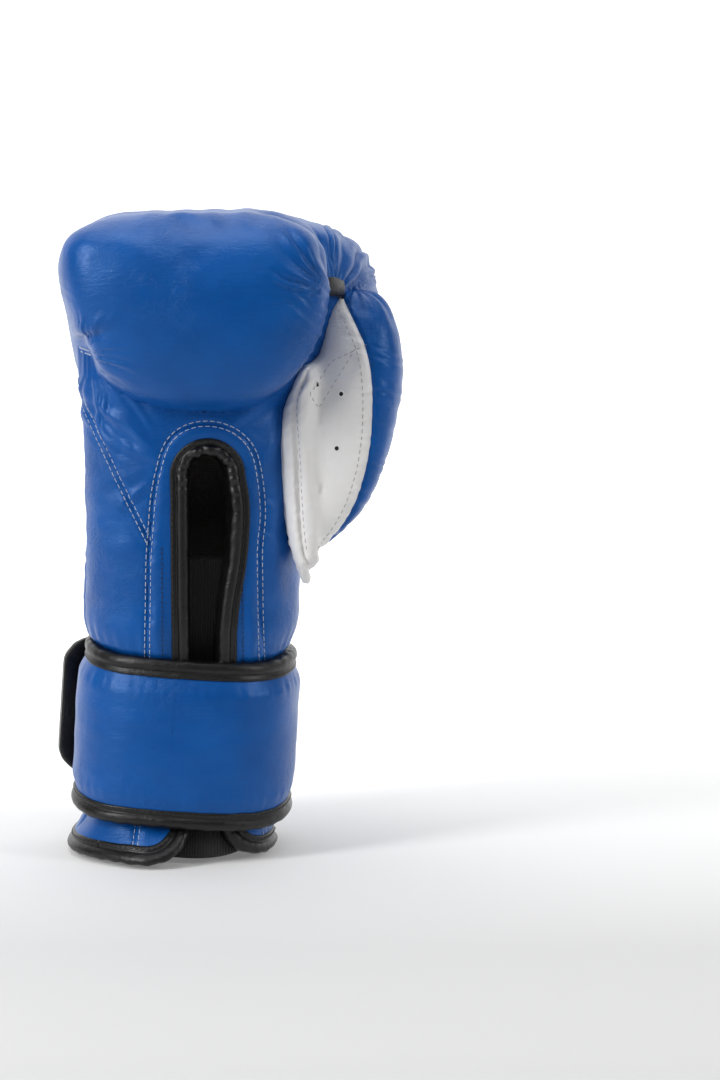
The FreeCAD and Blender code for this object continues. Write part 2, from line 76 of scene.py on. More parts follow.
STRAP_BOTTOM = 19.5
STRAP_TOP = 99.5
STRAP_DIP = 3.4
STRAP_DRAW_IN = 2.6
STRAP_HALF_WIDTH = 46.0
STRAP_HALF_DEPTH = 40.6
STRAP_GAP = 2.2
STRAP_SPIRAL = 1.2
STRAP_THICK = 4.7
STRAP_LEAN = math.radians(3.9)
STRAP_PIVOT = np.array([-4.3, 0.0, 60.0])
STRAP_START = 168.0
STRAP_END = 472.0
STRAP_SEGMENTS = 7
TAB_ON_WRAP = 27.0
TAB_STRAIGHT = 44.0
TAB_TOP = 94.0
TAB_BOTTOM = 24.5
TAB_RADIUS = 15.0

# Sleeve: height, centre x, half width, front y, back y, power
SLEEVE = [
    (-2, -12.3, 49.0, -44.5, 42.0, 2.5), (7, -11.4, 48.6, -43.0, 42.0, 2.5),
    (18, -7.2, 46.0, -40.6, 40.6, 2.5), (60, -4.3, 46.0, -40.6, 40.6, 2.5),
    (98, -1.7, 46.2, -40.8, 40.8, 2.5), (112, -0.8, 50.6, -43.2, 44.2, 2.5),
    (124, -0.6, 52.2, -43.9, 46.5, 2.5), (150, -0.4, 52.8, -44.5, 51.0, 2.6),
    (190, -0.6, 53.2, -45.0, 58.0, 2.6), (225, -1.3, 54.1, -45.5, 61.0, 2.6),
    (238, -4.0, 55.0, -44.0, 60.0, 2.6), (250, -5.8, 56.0, -42.0, 57.0, 2.6),
]
# Fist: y, left x, right x, bottom z, top z, widest z, power of the lower half and of the upper
FIST = [
    (-79.0, -20.0, 33, 252, 286, 272, 2.0, 2.4), (-77.0, -37.0, 48, 238, 294, 275, 2.0, 2.7),
    (-71.0, -50.5, 60, 226, 300.5, 279, 2.1, 3.4), (-61.0, -58.5, 67, 215.5, 305, 281, 2.2, 4.2),
    (-49.0, -60.8, 68.5, 213.5, 307.5, 282, 2.3, 4.6),
    (-38.0, -60.8, 61.0, 213, 306.5, 282, 2.3, 4.4),
    (-26.0, -60.8, 71.0, 212, 309, 283, 2.3, 4.4), (0.0, -60.5, 84.0, 208, 309.5, 281, 2.3, 3.5),
    (22.0, -59.6, 92.0, 192, 304.5, 276, 2.3, 3.2), (40.0, -57.0, 94.0, 172, 292, 265, 2.3, 2.6),
    (53.0, -50.0, 81.0, 168, 278, 247, 2.2, 2.4), (61.0, -36.0, 59.0, 190, 262, 233, 2.1, 2.2),
    (63.6, -18.0, 36.0, 207, 247, 227, 2.0, 2.0),
]
# Thumb: height, inner x, outer x, front y, back y
THUMB = [
    (146, 56.0, 62, -25, -9), (151, 54.8, 68, -29, -2), (157, 55.0, 75, -32, 3),
    (171, 55.3, 86, -37, 7), (194, 55.8, 95, -40, 10), (218, 56.4, 100.6, -41, 11),
    (234, 57.4, 102.5, -41, 11), (252, 59.0, 101.0, -39, 10), (264, 61.5, 97.5, -34, 7),
    (271, 66, 93, -27, 2), (274.5, 70.5, 88, -19, -5),
]
THUMB_SHEAR = 0.2
# Seam between the thumb's blue half and its white half: height and x
THUMB_SEAM = [(132, 66.0), (139, 64.0), (145, 63.0), (151, 67.3), (161, 74.4), (175, 81.0),
              (192, 85.5), (206, 87.2), (220, 87.6), (234, 86.6), (244, 84.4), (253, 80.6),
              (267, 74.0), (274, 71.0)]
THUMB_SEAM_Y = -15.0
# White roll between palm and thumb: height, left x, right x
GUSSET = [(131, 53.2, 56.4), (137, 51.6, 58.0), (145, 49.4, 60), (158, 45.6, 61),
          (180, 42.8, 60), (205, 42.2, 60), (222, 44.6, 60), (236, 50, 60), (241, 53, 58)]
GUSSET_Y = -30.5
GUSSET_REACH = 11.0
# Seam between that roll and the thumb: height and x
GUSSET_SEAM = [(128, 62.0), (139, 58.5), (148.5, 54.6), (170, 52.6), (193.7, 51.5), (217, 50.0),
               (226, 52.5), (232, 56.0), (240, 57.0), (252, 52.0), (275, 50.0)]
# Seam round the slot's facing, up the left side and down the right, in x and height
FACING_SEAM = [(-27, -6), (-23.5, 35), (-19.8, 99), (-18.8, 145), (-16.2, 177), (-10.4, 199.8),
               (-4.5, 206.2), (4, 209.6), (13.5, 209.6), (21.4, 207.2), (27.7, 202.2),
               (32, 195.9), (33.9, 185), (35.5, 169), (35.3, 161), (33.7, 152), (33.9, 121),
               (34.3, 99), (35, 35), (36, -6)]
SEAM_HALF_SPACING = 1.25
# Soft folds of the palm: x, height, slant in degrees, half length, half width, rise
SOFT_FOLDS = [
    (-27, 207, -38, 15, 2.6, 1.5), (-38, 214, -52, 11, 2.0, 1.1), (-23, 196, -25, 12, 2.4, 1.1),
    (-34, 183, 12, 12, 3.0, 0.7), (-25, 176, 38, 10, 2.2, 0.9), (-40, 172, -5, 12, 4.0, 0.8),
    (-38, 150, 8, 13, 4.5, 0.7), (-44, 128, -12, 12, 5.0, 0.7), (30, 215, 30, 13, 2.4, 0.9),
    (38, 196, 62, 15, 2.6, 0.8), (40, 165, 80, 16, 3.0, 0.9), (41, 140, 95, 14, 3.5, 0.8),
    (-13, 120, 84, 16, 2.5, 0.4), (27, 126, 96, 16, 2.5, 0.4),
]


# ---- numbers --------------------------------------------------------------------------------
def smooth(keys, values, at):
    """Values between the rows of a table, without overshoot."""
    x = np.asarray(keys, float)
    y = np.asarray(values, float).reshape(len(x), -1)
    at = np.clip(np.asarray(at, float), x[0], x[-1])
    h = np.diff(x)[:, None]
    d = np.diff(y, axis=0) / h
    slope = np.zeros_like(y)
    w1 = 2 * h[1:] + h[:-1]
    w2 = h[1:] + 2 * h[:-1]
    same = d[:-1] * d[1:] > 0
    safe1 = np.where(same, d[:-1], 1)
    safe2 = np.where(same, d[1:], 1)
    slope[1:-1] = np.where(same, (w1 + w2) / (w1 / safe1 + w2 / safe2), 0)
    slope[0], slope[-1] = d[0], d[-1]
    i = np.clip(np.searchsorted(x, at, side="right") - 1, 0, len(x) - 2)
    step = h[i]
    t = ((at - x[i])[:, None]) / step
    return ((2 * t**3 - 3 * t**2 + 1) * y[i] + (t**3 - 2 * t**2 + t) * step * slope[i]
            + (3 * t**2 - 2 * t**3) * y[i + 1] + (t**3 - t**2) * step * slope[i + 1])


def blurred(rows, width):
    """Rows smoothed along their first axis, with their ends kept."""
    reach = int(3 * width)
    kernel = np.exp(-0.5 * (np.arange(-reach, reach + 1) / width) ** 2)
    kernel /= kernel.sum()
    first = 2 * rows[0] - rows[reach:0:-1]
    last = 2 * rows[-1] - rows[-2:-reach - 2:-1]
    padded = np.concatenate([first, rows, last])
    return np.stack([np.convolve(padded[:, k], kernel, "valid") for k in range(rows.shape[1])], 1)


def power(value, exponent):
    return np.sign(value) * np.abs(value) ** exponent


def step(low, high, value):
    t = np.clip((value - low) / (high - low), 0, 1)
    return t * t * (3 - 2 * t)


def bump(value, centre, width):
    return np.exp(-((value - centre) / width) ** 2)


def circle(count):
    """Evenly spread angles of one turn."""
    return np.linspace(0, 2 * math.pi, count + 1)[:-1]


def polar(x, z, centre):
    """Angle and distance of front-view spots from a centre."""
    right, up = x - centre[0], z - centre[1]
    return np.arctan2(up, right), np.hypot(up, right)


def unit(vectors):
    """Rows of any length, made 1 long."""
    return vectors / np.linalg.norm(vectors, axis=1)[:, None]


def left_of(ahead):
    """Plane directions turned a quarter turn to the left."""
    return np.stack([-ahead[:, 1], ahead[:, 0]], 1)


def lengths(path):
    """Length along a path at each of its points."""
    return np.concatenate([[0], np.cumsum(np.linalg.norm(np.diff(path, axis=0), axis=1))])


def waves(x, seed):
    """An uneven ripple of about one crest per unit of x, from -1 to 1."""
    count, spread = 4, 0.55
    random = np.random.default_rng(seed)
    total = np.zeros_like(x, float)
    for _ in range(count):
        rate = 1 + spread * (random.random() * 2 - 1)
        total += np.sin(2 * math.pi * (x * rate + random.random()))
    return total / math.sqrt(count) / 1.4


def gathers(x, seed, sharpness):
    """Rounded folds with sharp valleys between them, 0 in a valley and 1 on a crest."""
    drift = 0.55 * waves(x / 3.1, seed + 1)
    height = 0.72 + 0.28 * waves(x / 1.7, seed + 2)
    return np.abs(np.sin(math.pi * (x + drift))) ** sharpness * height


def cloud(points, size, seed):
    """Smooth noise in space, from about -1 to 1, with features of that size."""
    offset = Vector((seed * 17.3, seed * 5.1, seed * 9.7))
    return np.array([noise.noise(Vector(p) / size + offset) for p in points.tolist()])


def sections(table, keys, blur):
    """A section table read at every key, and smoothed over blur rows."""
    return blurred(smooth([r[0] for r in table], [r[1:] for r in table], keys), blur)


def seam_at(seam, heights):
    """x of a seam in a table of (height, x)."""
    return smooth([r[0] for r in seam], [r[1] for r in seam], heights)[:, 0]


# ---- meshes in millimetres ------------------------------------------------------------------
def grid_faces(rows, columns, closed):
    """Quads of a grid of points, row by row. A closed grid joins its last column to its first."""
    across = columns if closed else columns - 1
    r, c = np.meshgrid(np.arange(rows - 1), np.arange(across), indexing="ij")
    after = (c + 1) % columns
    quads = np.stack([r * columns + c, r * columns + after,
                      (r + 1) * columns + after, (r + 1) * columns + c], -1)
    return quads.reshape(-1, 4).tolist()


def capped_tube(rings):
    """Closed surface through rings of equal length, with a point at the middle of each end."""
    count, around = rings.shape[:2]
    points = np.concatenate([rings.reshape(-1, 3), [rings[0].mean(0)], [rings[-1].mean(0)]])
    faces = grid_faces(count, around, True)
    first, last = count * around, count * around + 1
    for k in range(around):
        after = (k + 1) % around
        faces.append([first, after, k])
        faces.append([last, (count - 1) * around + k, (count - 1) * around + after])
    return points, faces


def joined(first, second):
    """Two surfaces, each of points and faces, as one."""
    points = np.concatenate([first[0], second[0]])
    return points, first[1] + [[k + len(first[0]) for k in f] for f in second[1]]


def new_mesh(name, points, faces):
    mesh = bpy.data.meshes.new(name)
    mesh.from_pydata([tuple(p) for p in points.tolist()], [], faces)
    mesh.validate()
    mesh.update()
    return mesh


def read_mesh(mesh):
    points = np.zeros(len(mesh.vertices) * 3)
    mesh.vertices.foreach_get("co", points)
    return points.reshape(-1, 3), [list(p.vertices) for p in mesh.polygons]


def evaluated(points, faces, modifiers):
    """Points and faces after a list of (modifier type, settings)."""
    obj = bpy.data.objects.new("working", new_mesh("working", points, faces))
    bpy.context.scene.collection.objects.link(obj)
    for kind, settings in modifiers:
        modifier = obj.modifiers.new(kind, kind)
        for key, value in settings.items():
            setattr(modifier, key, value)
    bpy.context.view_layer.update()
    graph = bpy.context.evaluated_depsgraph_get()
    result = bpy.data.meshes.new_from_object(obj.evaluated_get(graph))
    made = read_mesh(result)
    source = obj.data
    bpy.data.objects.remove(obj)
    bpy.data.meshes.remove(source)
    bpy.data.meshes.remove(result)
    return made


def remeshed(points, faces, voxel):
    return evaluated(points, faces, [("REMESH", {"mode": "VOXEL", "voxel_size": voxel})])


def subdivided(points, faces, levels):
    return evaluated(points, faces, [("SUBSURF", {"levels": levels, "render_levels": levels})])


def edges_of(faces):
    """Every edge once, as an array of point pairs."""
    pairs = [(f[k - 1], f[k]) for f in faces for k in range(len(f))]
    pairs = np.sort(np.array(pairs), axis=1)
    return np.unique(pairs, axis=0)


def relaxed(points, faces, rounds, weight=1.0):
    """Points moved half of the way to the mean of their neighbours, times a weight, every round."""
    edges = edges_of(faces)
    count = np.zeros(len(points))
    np.add.at(count, edges[:, 0], 1)
    np.add.at(count, edges[:, 1], 1)
    count = np.maximum(count, 1)[:, None]
    strength = 0.5 * np.reshape(weight, (-1, 1))
    for _ in range(rounds):
        total = np.zeros_like(points)
        np.add.at(total, edges[:, 0], points[edges[:, 1]])
        np.add.at(total, edges[:, 1], points[edges[:, 0]])
        points = points + (total / count - points) * strength
    return points


def normals_of(points, faces):
    mesh = new_mesh("normals", points, faces)
    found = np.zeros(len(mesh.vertices) * 3)
    mesh.vertex_normals.foreach_get("vector", found)
    bpy.data.meshes.remove(mesh)
    return found.reshape(-1, 3)


def kept_side(points, faces, field, extra=()):
    """The part of a surface where field is above 0, cut cleanly along field = 0.

    extra holds more arrays with one row per point, which are cut in the same way."""
    rows = [points] + [np.asarray(e, float).reshape(len(points), -1) for e in extra]
    inside = field > 0
    made = [[] for _ in rows]
    between = {}
    count = len(points)

    def crossing(a, b):
        key = (min(a, b), max(a, b))
        if key not in between:
            share = field[a] / (field[a] - field[b])
            for store, row in zip(made, rows):
                store.append(row[a] + (row[b] - row[a]) * share)
            between[key] = count + len(between)
        return between[key]

    kept = []
    for face in faces:
        states = [inside[k] for k in face]
        if all(states):
            kept.append(face)
        elif any(states):
            polygon = []
            for a, b in zip(face, face[1:] + face[:1]):
                if inside[a]:
                    polygon.append(a)
                if inside[a] != inside[b]:
                    polygon.append(crossing(a, b))
            if len(polygon) > 2:
                kept.append(polygon)
    whole = [np.concatenate([row, store]) if store else row for row, store in zip(rows, made)]
    used = np.unique(np.concatenate([np.array(f) for f in kept]))
    place = np.full(len(whole[0]), -1)
    place[used] = np.arange(len(used))
    faces = [[int(place[k]) for k in f] for f in kept]
    return [w[used] for w in whole], faces


# ---- objects --------------------------------------------------------------------------------
def make_object(name, points, faces, material):
    """An object in the row frame, in metres, from points in millimetres round the wrist axis."""
    mesh = new_mesh(name, (points + WRIST_AXIS) * TO_METRES, faces)
    mesh.polygons.foreach_set("use_smooth", [True] * len(mesh.polygons))
    obj = bpy.data.objects.new(name, mesh)
    bpy.context.scene.collection.objects.link(obj)
    mesh.materials.append(material)
    return obj


def to_row(point):
    return tuple((np.asarray(point, float) + WRIST_AXIS) * TO_METRES)


def carry(obj, body, *bend):
    """Moves an object with a body, or, where a bend is given, only bakes its transform and leaves
    it on no body. bend: the next body, and where its bend starts and ends; these are not used.
    """
    if bend:
        following, start, end = bend
        to_row(start)
        to_row(end)
        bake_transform(obj)
    else:
        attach(obj, body)


def padded_piece(name, points, faces, slot, carriers, fill, *replaced):
    """A padded object on its body, or on no body where the carriers add a bend, in place of the CAD
    nodes named last.
    """
    obj = make_object(name, points, faces, SLOT_MATERIALS[slot])
    carry(obj, *carriers)
    if replaced:
        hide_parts(*replaced)


def tree_of(points, faces):
    return BVHTree.FromPolygons([tuple(p) for p in points.tolist()], faces)


# ---- materials ------------------------------------------------------------------------------
class Nodes:
    """Short calls for building one material's node tree."""

    def __init__(self, name):
        self.material = bpy.data.materials.new(name)
        self.material.use_nodes = True
        self.tree = self.material.node_tree
        self.shader = self.tree.nodes["Principled BSDF"]

    def add(self, kind, **values):
        node = self.tree.nodes.new(kind)
        for key, value in values.items():
            if key in node.inputs:
                node.inputs[key].default_value = value
            else:
                setattr(node, key, value)
        return node

    def join(self, source, target):
        self.tree.links.new(source, target)

    def place(self):
        return self.add("ShaderNodeTexCoord").outputs["Object"]

    def noise(self, scale, detail=3.0, roughness=0.55, distortion=0.0):
        node = self.add("ShaderNodeTexNoise", Scale=scale, Detail=detail, Roughness=roughness,
                        Distortion=distortion)
        self.join(self.place(), node.inputs["Vector"])
        return node.outputs["Fac"]

    def streaks(self):
        """Fine wrinkles that run level, more upright in places."""
        turn = self.add("ShaderNodeMapping", vector_type="POINT")
        turn.inputs["Scale"].default_value = (0.45, 0.45, 2.2)
        turn.inputs["Rotation"].default_value = (0.0, 0.35, 0.0)
        self.join(self.place(), turn.inputs["Vector"])
        node = self.add("ShaderNodeTexNoise", Scale=190.0, Detail=5.0, Roughness=0.6,
                        Distortion=1.2)
        self.join(turn.outputs["Vector"], node.inputs["Vector"])
        return node.outputs["Fac"]

    def cells(self, scale):
        node = self.add("ShaderNodeTexVoronoi", Scale=scale)
        self.join(self.place(), node.inputs["Vector"])
        return node.outputs["Distance"]

    def bands(self, scale, direction, distortion):
        node = self.add("ShaderNodeTexWave", Scale=scale, Distortion=distortion)
        node.bands_direction = direction
        self.join(self.place(), node.inputs["Vector"])
        return node.outputs["Fac"]

    def ramp(self, source, low, high, low_color, high_color):
        node = self.add("ShaderNodeValToRGB")
        node.color_ramp.elements[0].position = low
        node.color_ramp.elements[1].position = high
        node.color_ramp.elements[0].color = (*low_color, 1)
        node.color_ramp.elements[1].color = (*high_color, 1)
        self.join(source, node.inputs["Fac"])
        return node.outputs["Color"]

    def color(self, source, low, high, low_color, high_color):
        made = self.ramp(source, low, high, low_color, high_color)
        self.join(made, self.shader.inputs["Base Color"])

    def span(self, source, low, high, source_low=0.0, source_high=1.0):
        """A value carried over from one range to another, and kept inside it."""
        node = self.add("ShaderNodeMapRange")
        names = ("To Min", "To Max", "From Min", "From Max")
        for name, value in zip(names, (low, high, source_low, source_high)):
            node.inputs[name].default_value = value
        self.join(source, node.inputs["Value"])
        return node.outputs["Result"]

    def bumps(self, layers, normal=None):
        """Heights from (source, strength, distance), one over the other, on the shader's normal."""
        for source, strength, distance in layers:
            node = self.add("ShaderNodeBump", Strength=strength, Distance=distance)
            self.join(source, node.inputs["Height"])
            if normal is not None:
                self.join(normal, node.inputs["Normal"])
            normal = node.outputs["Normal"]
        self.join(normal, self.shader.inputs["Normal"])

    def set(self, **values):
        for key, value in values.items():
            self.shader.inputs[key.replace("_", " ")].default_value = value


def leather(name, dark, light, roughness, grain, shine, tint=(1.0, 1.0, 1.0)):
    """Smooth hide: fine pores, patches of fine wrinkles, and uneven colour and shine."""
    m = Nodes(name)
    m.color(m.noise(34.0, 4.0, 0.6), 0.3, 0.72, dark, light)
    m.join(m.span(m.noise(75.0, 5.0, 0.65), *roughness), m.shader.inputs["Roughness"])
    wrinkles = m.add("ShaderNodeBump", Distance=0.0009)
    m.join(m.noise(150.0, 8.0, 0.7, 1.6), wrinkles.inputs["Height"])
    m.join(m.span(m.noise(22.0, 2.0, 0.5), 0.0, 0.8, 0.46, 0.64), wrinkles.inputs["Strength"])
    layers = [(m.streaks(), 0.35, 0.0006), (m.noise(60.0, 2.0, 0.5), 0.25, 0.0009),
              (m.noise(480.0, 6.0, 0.62, 0.6), grain, 0.0002),
              (m.cells(1500.0), grain * 0.7, 0.0001)]
    m.bumps(layers, wrinkles.outputs["Normal"])
    m.set(Specular_IOR_Level=shine, Specular_Tint=(*tint, 1.0), Coat_Weight=0.04,
          Coat_Roughness=0.3)
    return m.material


def woven(name, dark, light, pitch):
    """Plain fabric with crossing threads."""
    m = Nodes(name)
    both = m.add("ShaderNodeMath", operation="MULTIPLY")
    for k, axis in enumerate(("X", "Z")):
        m.join(m.bands(pitch, axis, 0.6), both.inputs[k])
    m.color(both.outputs[0], 0.1, 0.8, dark, light)
    m.bumps([(both.outputs[0], 0.6, 0.00025), (m.noise(300.0, 3.0), 0.25, 0.0003)])
    m.set(Roughness=0.85, Sheen_Weight=0.3, Sheen_Roughness=0.5)
    return m.material


def ribbed(name, dark, light, pitch):
    """Stretch fabric with fine upright ribs."""
    m = Nodes(name)
    ribs = m.bands(pitch, "X", 0.3)
    m.color(ribs, 0.1, 0.9, dark, light)
    m.bumps([(ribs, 0.7, 0.0004), (m.noise(700.0, 3.0), 0.3, 0.0002)])
    m.set(Roughness=0.8, Sheen_Weight=0.2)
    return m.material


def pile(name, dark, light, size, depth):
    """Hooks or loops: a dense field of small points."""
    m = Nodes(name)
    cells = m.cells(size)
    m.color(cells, 0.1, 0.7, light, dark)
    m.bumps([(cells, 1.0, depth), (m.noise(1500.0, 2.0), 0.4, 0.0002)])
    m.set(Roughness=0.75, Sheen_Weight=0.25)
    return m.material


def foam(name, dark, light):
    """Open foam with small cells."""
    m = Nodes(name)
    m.color(m.noise(300.0, 5.0), 0.3, 0.7, dark, light)
    m.bumps([(m.cells(700.0), 0.6, 0.0003)])
    m.set(Roughness=0.9)
    return m.material


def thread(name, dark, light):
    """Twisted sewing thread."""
    m = Nodes(name)
    twist = m.bands(900.0, "DIAGONAL", 0.5)
    m.color(twist, 0.2, 0.8, dark, light)
    m.bumps([(twist, 0.5, 0.0001)])
    m.set(Roughness=0.55)
    return m.material


BLUE = leather("blue_leather", (0.0002, 0.064, 0.280), (0.0008, 0.086, 0.355), (0.27, 0.42),
               0.42, 0.55, (0.38, 0.6, 1.0))
WHITE = leather("white_leather", (0.76, 0.75, 0.74), (0.86, 0.85, 0.84), (0.38, 0.52), 0.3, 0.35)
BLACK = leather("black_leather", (0.0015, 0.0013, 0.0013), (0.005, 0.0045, 0.0045), (0.27, 0.42),
                0.6, 0.4)
LINING = woven("lining_fabric", (0.14, 0.13, 0.13), (0.26, 0.245, 0.24), 300.0)
STRAP_LINING = woven("strap_lining", (0.010, 0.010, 0.011), (0.035, 0.035, 0.038), 260.0)
ELASTIC = ribbed("stretch_fabric", (0.003, 0.003, 0.003), (0.009, 0.009, 0.009), 240.0)
LOOPS = pile("loop_fabric", (0.008, 0.008, 0.009), (0.035, 0.035, 0.036), 900.0, 0.0006)
HOOKS = pile("hook_fabric", (0.006, 0.006, 0.007), (0.030, 0.030, 0.031), 600.0, 0.0008)
FOAM = foam("foam", (0.55, 0.52, 0.42), (0.72, 0.69, 0.58))
DENSE_FOAM = foam("dense_foam", (0.16, 0.16, 0.17), (0.26, 0.26, 0.28))
WHITE_THREAD = thread("white_thread", (0.36, 0.43, 0.56), (0.62, 0.66, 0.74))
GREY_THREAD = thread("grey_thread", (0.26, 0.27, 0.27), (0.42, 0.42, 0.41))
NAVY_THREAD = thread("navy_thread", (0.004, 0.012, 0.035), (0.010, 0.028, 0.075))
# Painted shade: near-black discs laid over the vent holes stand for the lining seen in shade
# through them
VENT_SHADE = woven("vent_painted_shade", (0.004, 0.004, 0.005), (0.010, 0.010, 0.011), 300.0)
BLACK_THREAD = thread("black_thread", (0.002, 0.002, 0.002), (0.008, 0.008, 0.008))

SLOT_MATERIALS = {"foam": FOAM, "dense_foam": DENSE_FOAM, "blue_leather": BLUE,
                  "white_leather": WHITE, "black_leather": BLACK, "lining_fabric": LINING,
                  "stretch_fabric": ELASTIC, "strap_lining": STRAP_LINING, "loop_fabric": LOOPS,
                  "hook_fabric": HOOKS}


def dress_cad_nodes():
    """Every carried-over CAD node gets the material of its slot."""
    slots = {s["node"]: s["material_slot"] for s in frame["record"]["subparts"]}
    for name, obj in frame["nodes"].items():
        obj.data.materials.clear()
        obj.data.materials.append(SLOT_MATERIALS[slots[name]])


# ---- the wrist and palm ---------------------------------------------------------------------
SLEEVE_TOP = 246.0
SLEEVE_COLUMNS = 300
DIAGONAL = [(-50.5, 217.2), (-18.9, 154.1)]   # both ends of the seam across the palm
DIAGONAL_END_X = -14.0                        # that seam and its folds stay left of this
SIDE_SEAM_Y = -14.0
PALM_CREASE = (-46.0, 238.0)                  # x and height of the crease that the folds fan from


def sleeve_rows(heights):
    """Centre x, half width, front, back and power at each height."""
    keys = np.arange(SLEEVE[0][0], SLEEVE[-1][0] + 0.01, 1.0)
    table = sections(SLEEVE, keys, 3.0)
    return np.stack([np.interp(heights, keys, table[:, k]) for k in range(5)], 1)


def sleeve_point(angle, height, out=0.0):
    """Points of the sleeve's outer surface, or that far outside it."""
    angle, height, out = np.broadcast_arrays(*(np.asarray(v, float) for v in (angle, height, out)))
    rows = sleeve_rows(height.ravel()).reshape(height.shape + (5,))
    x, half, front, back, exponent = np.moveaxis(rows, -1, 0)
    c, s = np.cos(angle), np.sin(angle)
    depth = np.where(s > 0, back, -front)
    return np.stack([x + (half + out) * power(c, 2 / exponent),
                     (depth + out) * power(s, 2 / exponent), height], -1)


def front_angle(x, z):
    """Angle of the sleeve's front point with that x, at that height."""
    rows = sleeve_rows(np.asarray(z, float).ravel())
    share = np.clip((np.asarray(x, float).ravel() - rows[:, 0]) / rows[:, 1], -0.999, 0.999)
    return -np.arccos(power(share, rows[:, 4] / 2)).reshape(np.shape(x))


def outside_sleeve(points):
    """How far points lie outside the sleeve, about, in millimetres."""
    x, half, front, back, exponent = sleeve_rows(points[:, 2]).T
    depth = np.where(points[:, 1] > 0, back, -front)
    level = (np.abs((points[:, 0] - x) / half) ** exponent
             + np.abs(points[:, 1] / depth) ** exponent) ** (1 / exponent)
    return (level - 1) * 0.5 * (half + depth)


def arc(centre, radius, start, end, count):
    turn = np.radians(np.linspace(start, end, count))
    return np.stack([centre[0] + radius * np.cos(turn), centre[1] + radius * np.sin(turn)], 1)


def slot_outline():
    """Front view of the slot's edge: up its left side, over the arch and down its right side."""
    left = np.stack([np.full(90, SLOT_LEFT), np.linspace(FLAP_RADIUS, SLOT_ARCH_Z, 90)], 1)
    middle = ((SLOT_LEFT + SLOT_TOP_RIGHT) / 2, SLOT_ARCH_Z)
    crown = arc(middle, (SLOT_TOP_RIGHT - SLOT_LEFT) / 2, 180, 0, 30)
    z = np.linspace(SLOT_ARCH_Z, FLAP_RADIUS, 90)
    x = smooth([FLAP_RADIUS, 98, 120, 148, 168, SLOT_ARCH_Z],
               [SLOT_RIGHT, SLOT_RIGHT, SLOT_RIGHT + 1.4, SLOT_TOP_RIGHT + 1.0,
                SLOT_TOP_RIGHT + 2.2, SLOT_TOP_RIGHT], z)
    return np.concatenate([left, crown[1:-1], np.stack([x[:, 0], z], 1)])


def facing_outline():
    """Front view of the seam round the slot's facing, as a smooth line."""
    line, _ = resampled(FACING_SEAM, 1.0)
    return blurred(line, 5)


def free_outline():
    """Front view of the whole free edge: hem, left flap corner, slot, right flap corner, hem."""
    low = np.stack([np.linspace(-75, SLOT_LEFT - FLAP_RADIUS, 90), np.zeros(90)], 1)
    corner = arc((SLOT_LEFT - FLAP_RADIUS, FLAP_RADIUS), FLAP_RADIUS, -90, 0, 40)
    other = arc((SLOT_RIGHT + FLAP_RADIUS, FLAP_RADIUS), FLAP_RADIUS, 180, 270, 40)
    high = np.stack([np.linspace(SLOT_RIGHT + FLAP_RADIUS, 75, 70), np.zeros(70)], 1)
    return np.concatenate([low, corner[1:-1], slot_outline(), other[1:-1], high])


def resampled(path, spacing):
    """A polyline with even steps, and its length at each step."""
    path = np.asarray(path, float)
    length = lengths(path)
    count = max(int(round(length[-1] / spacing)), 1)
    at = np.linspace(0, length[-1], count + 1)
    return np.stack([np.interp(at, length, path[:, k]) for k in range(path.shape[1])], 1), at


def side_of(outline, x, z):
    """Distance from an outline in front view, positive on the left of its direction."""
    line, _ = resampled(outline, 0.6)
    along = unit(np.gradient(line, axis=0))
    tree = KDTree(len(line))
    for k, (a, b) in enumerate(line.tolist()):
        tree.insert((a, b, 0), k)
    tree.balance()
    spots = np.stack([np.ravel(x), np.ravel(z)], 1)
    nearest = np.array([tree.find((a, b, 0))[1] for a, b in spots.tolist()])
    away = spots - line[nearest]
    across = (away * left_of(along[nearest])).sum(1)
    far = np.linalg.norm(away, axis=1)
    return np.where(np.abs(across) < 0.05, across, np.sign(across) * far).reshape(np.shape(x))


def diagonal_side(x, z):
    """Positive below and left of the seam that crosses the palm, down to the slot's facing."""
    (ax, az), (bx, bz) = DIAGONAL
    along = np.array([bx - ax, bz - az])
    along /= np.linalg.norm(along)
    return (x - ax) * along[1] - (z - az) * along[0]


def flap_lift(points):
    """How far the free flaps stand off the wrist."""
    x, y, z = points.T
    left = bump(x, -12.0, 23.0) * (x < 7) * step(23, -1, z)
    right = bump(x, 27.0, 14.0) * (x > 7) * step(22, -1, z)
    return (12.0 * left + 3.0 * right) * (y < 0)


def strap_height(points):
    """Height along the strap's own leaning axis, as if the strap did not dip in front."""
    x, y, z = points.T
    return z + math.tan(STRAP_LEAN) * (x - STRAP_PIVOT[0]) + STRAP_DIP * step(-4, -42, y)


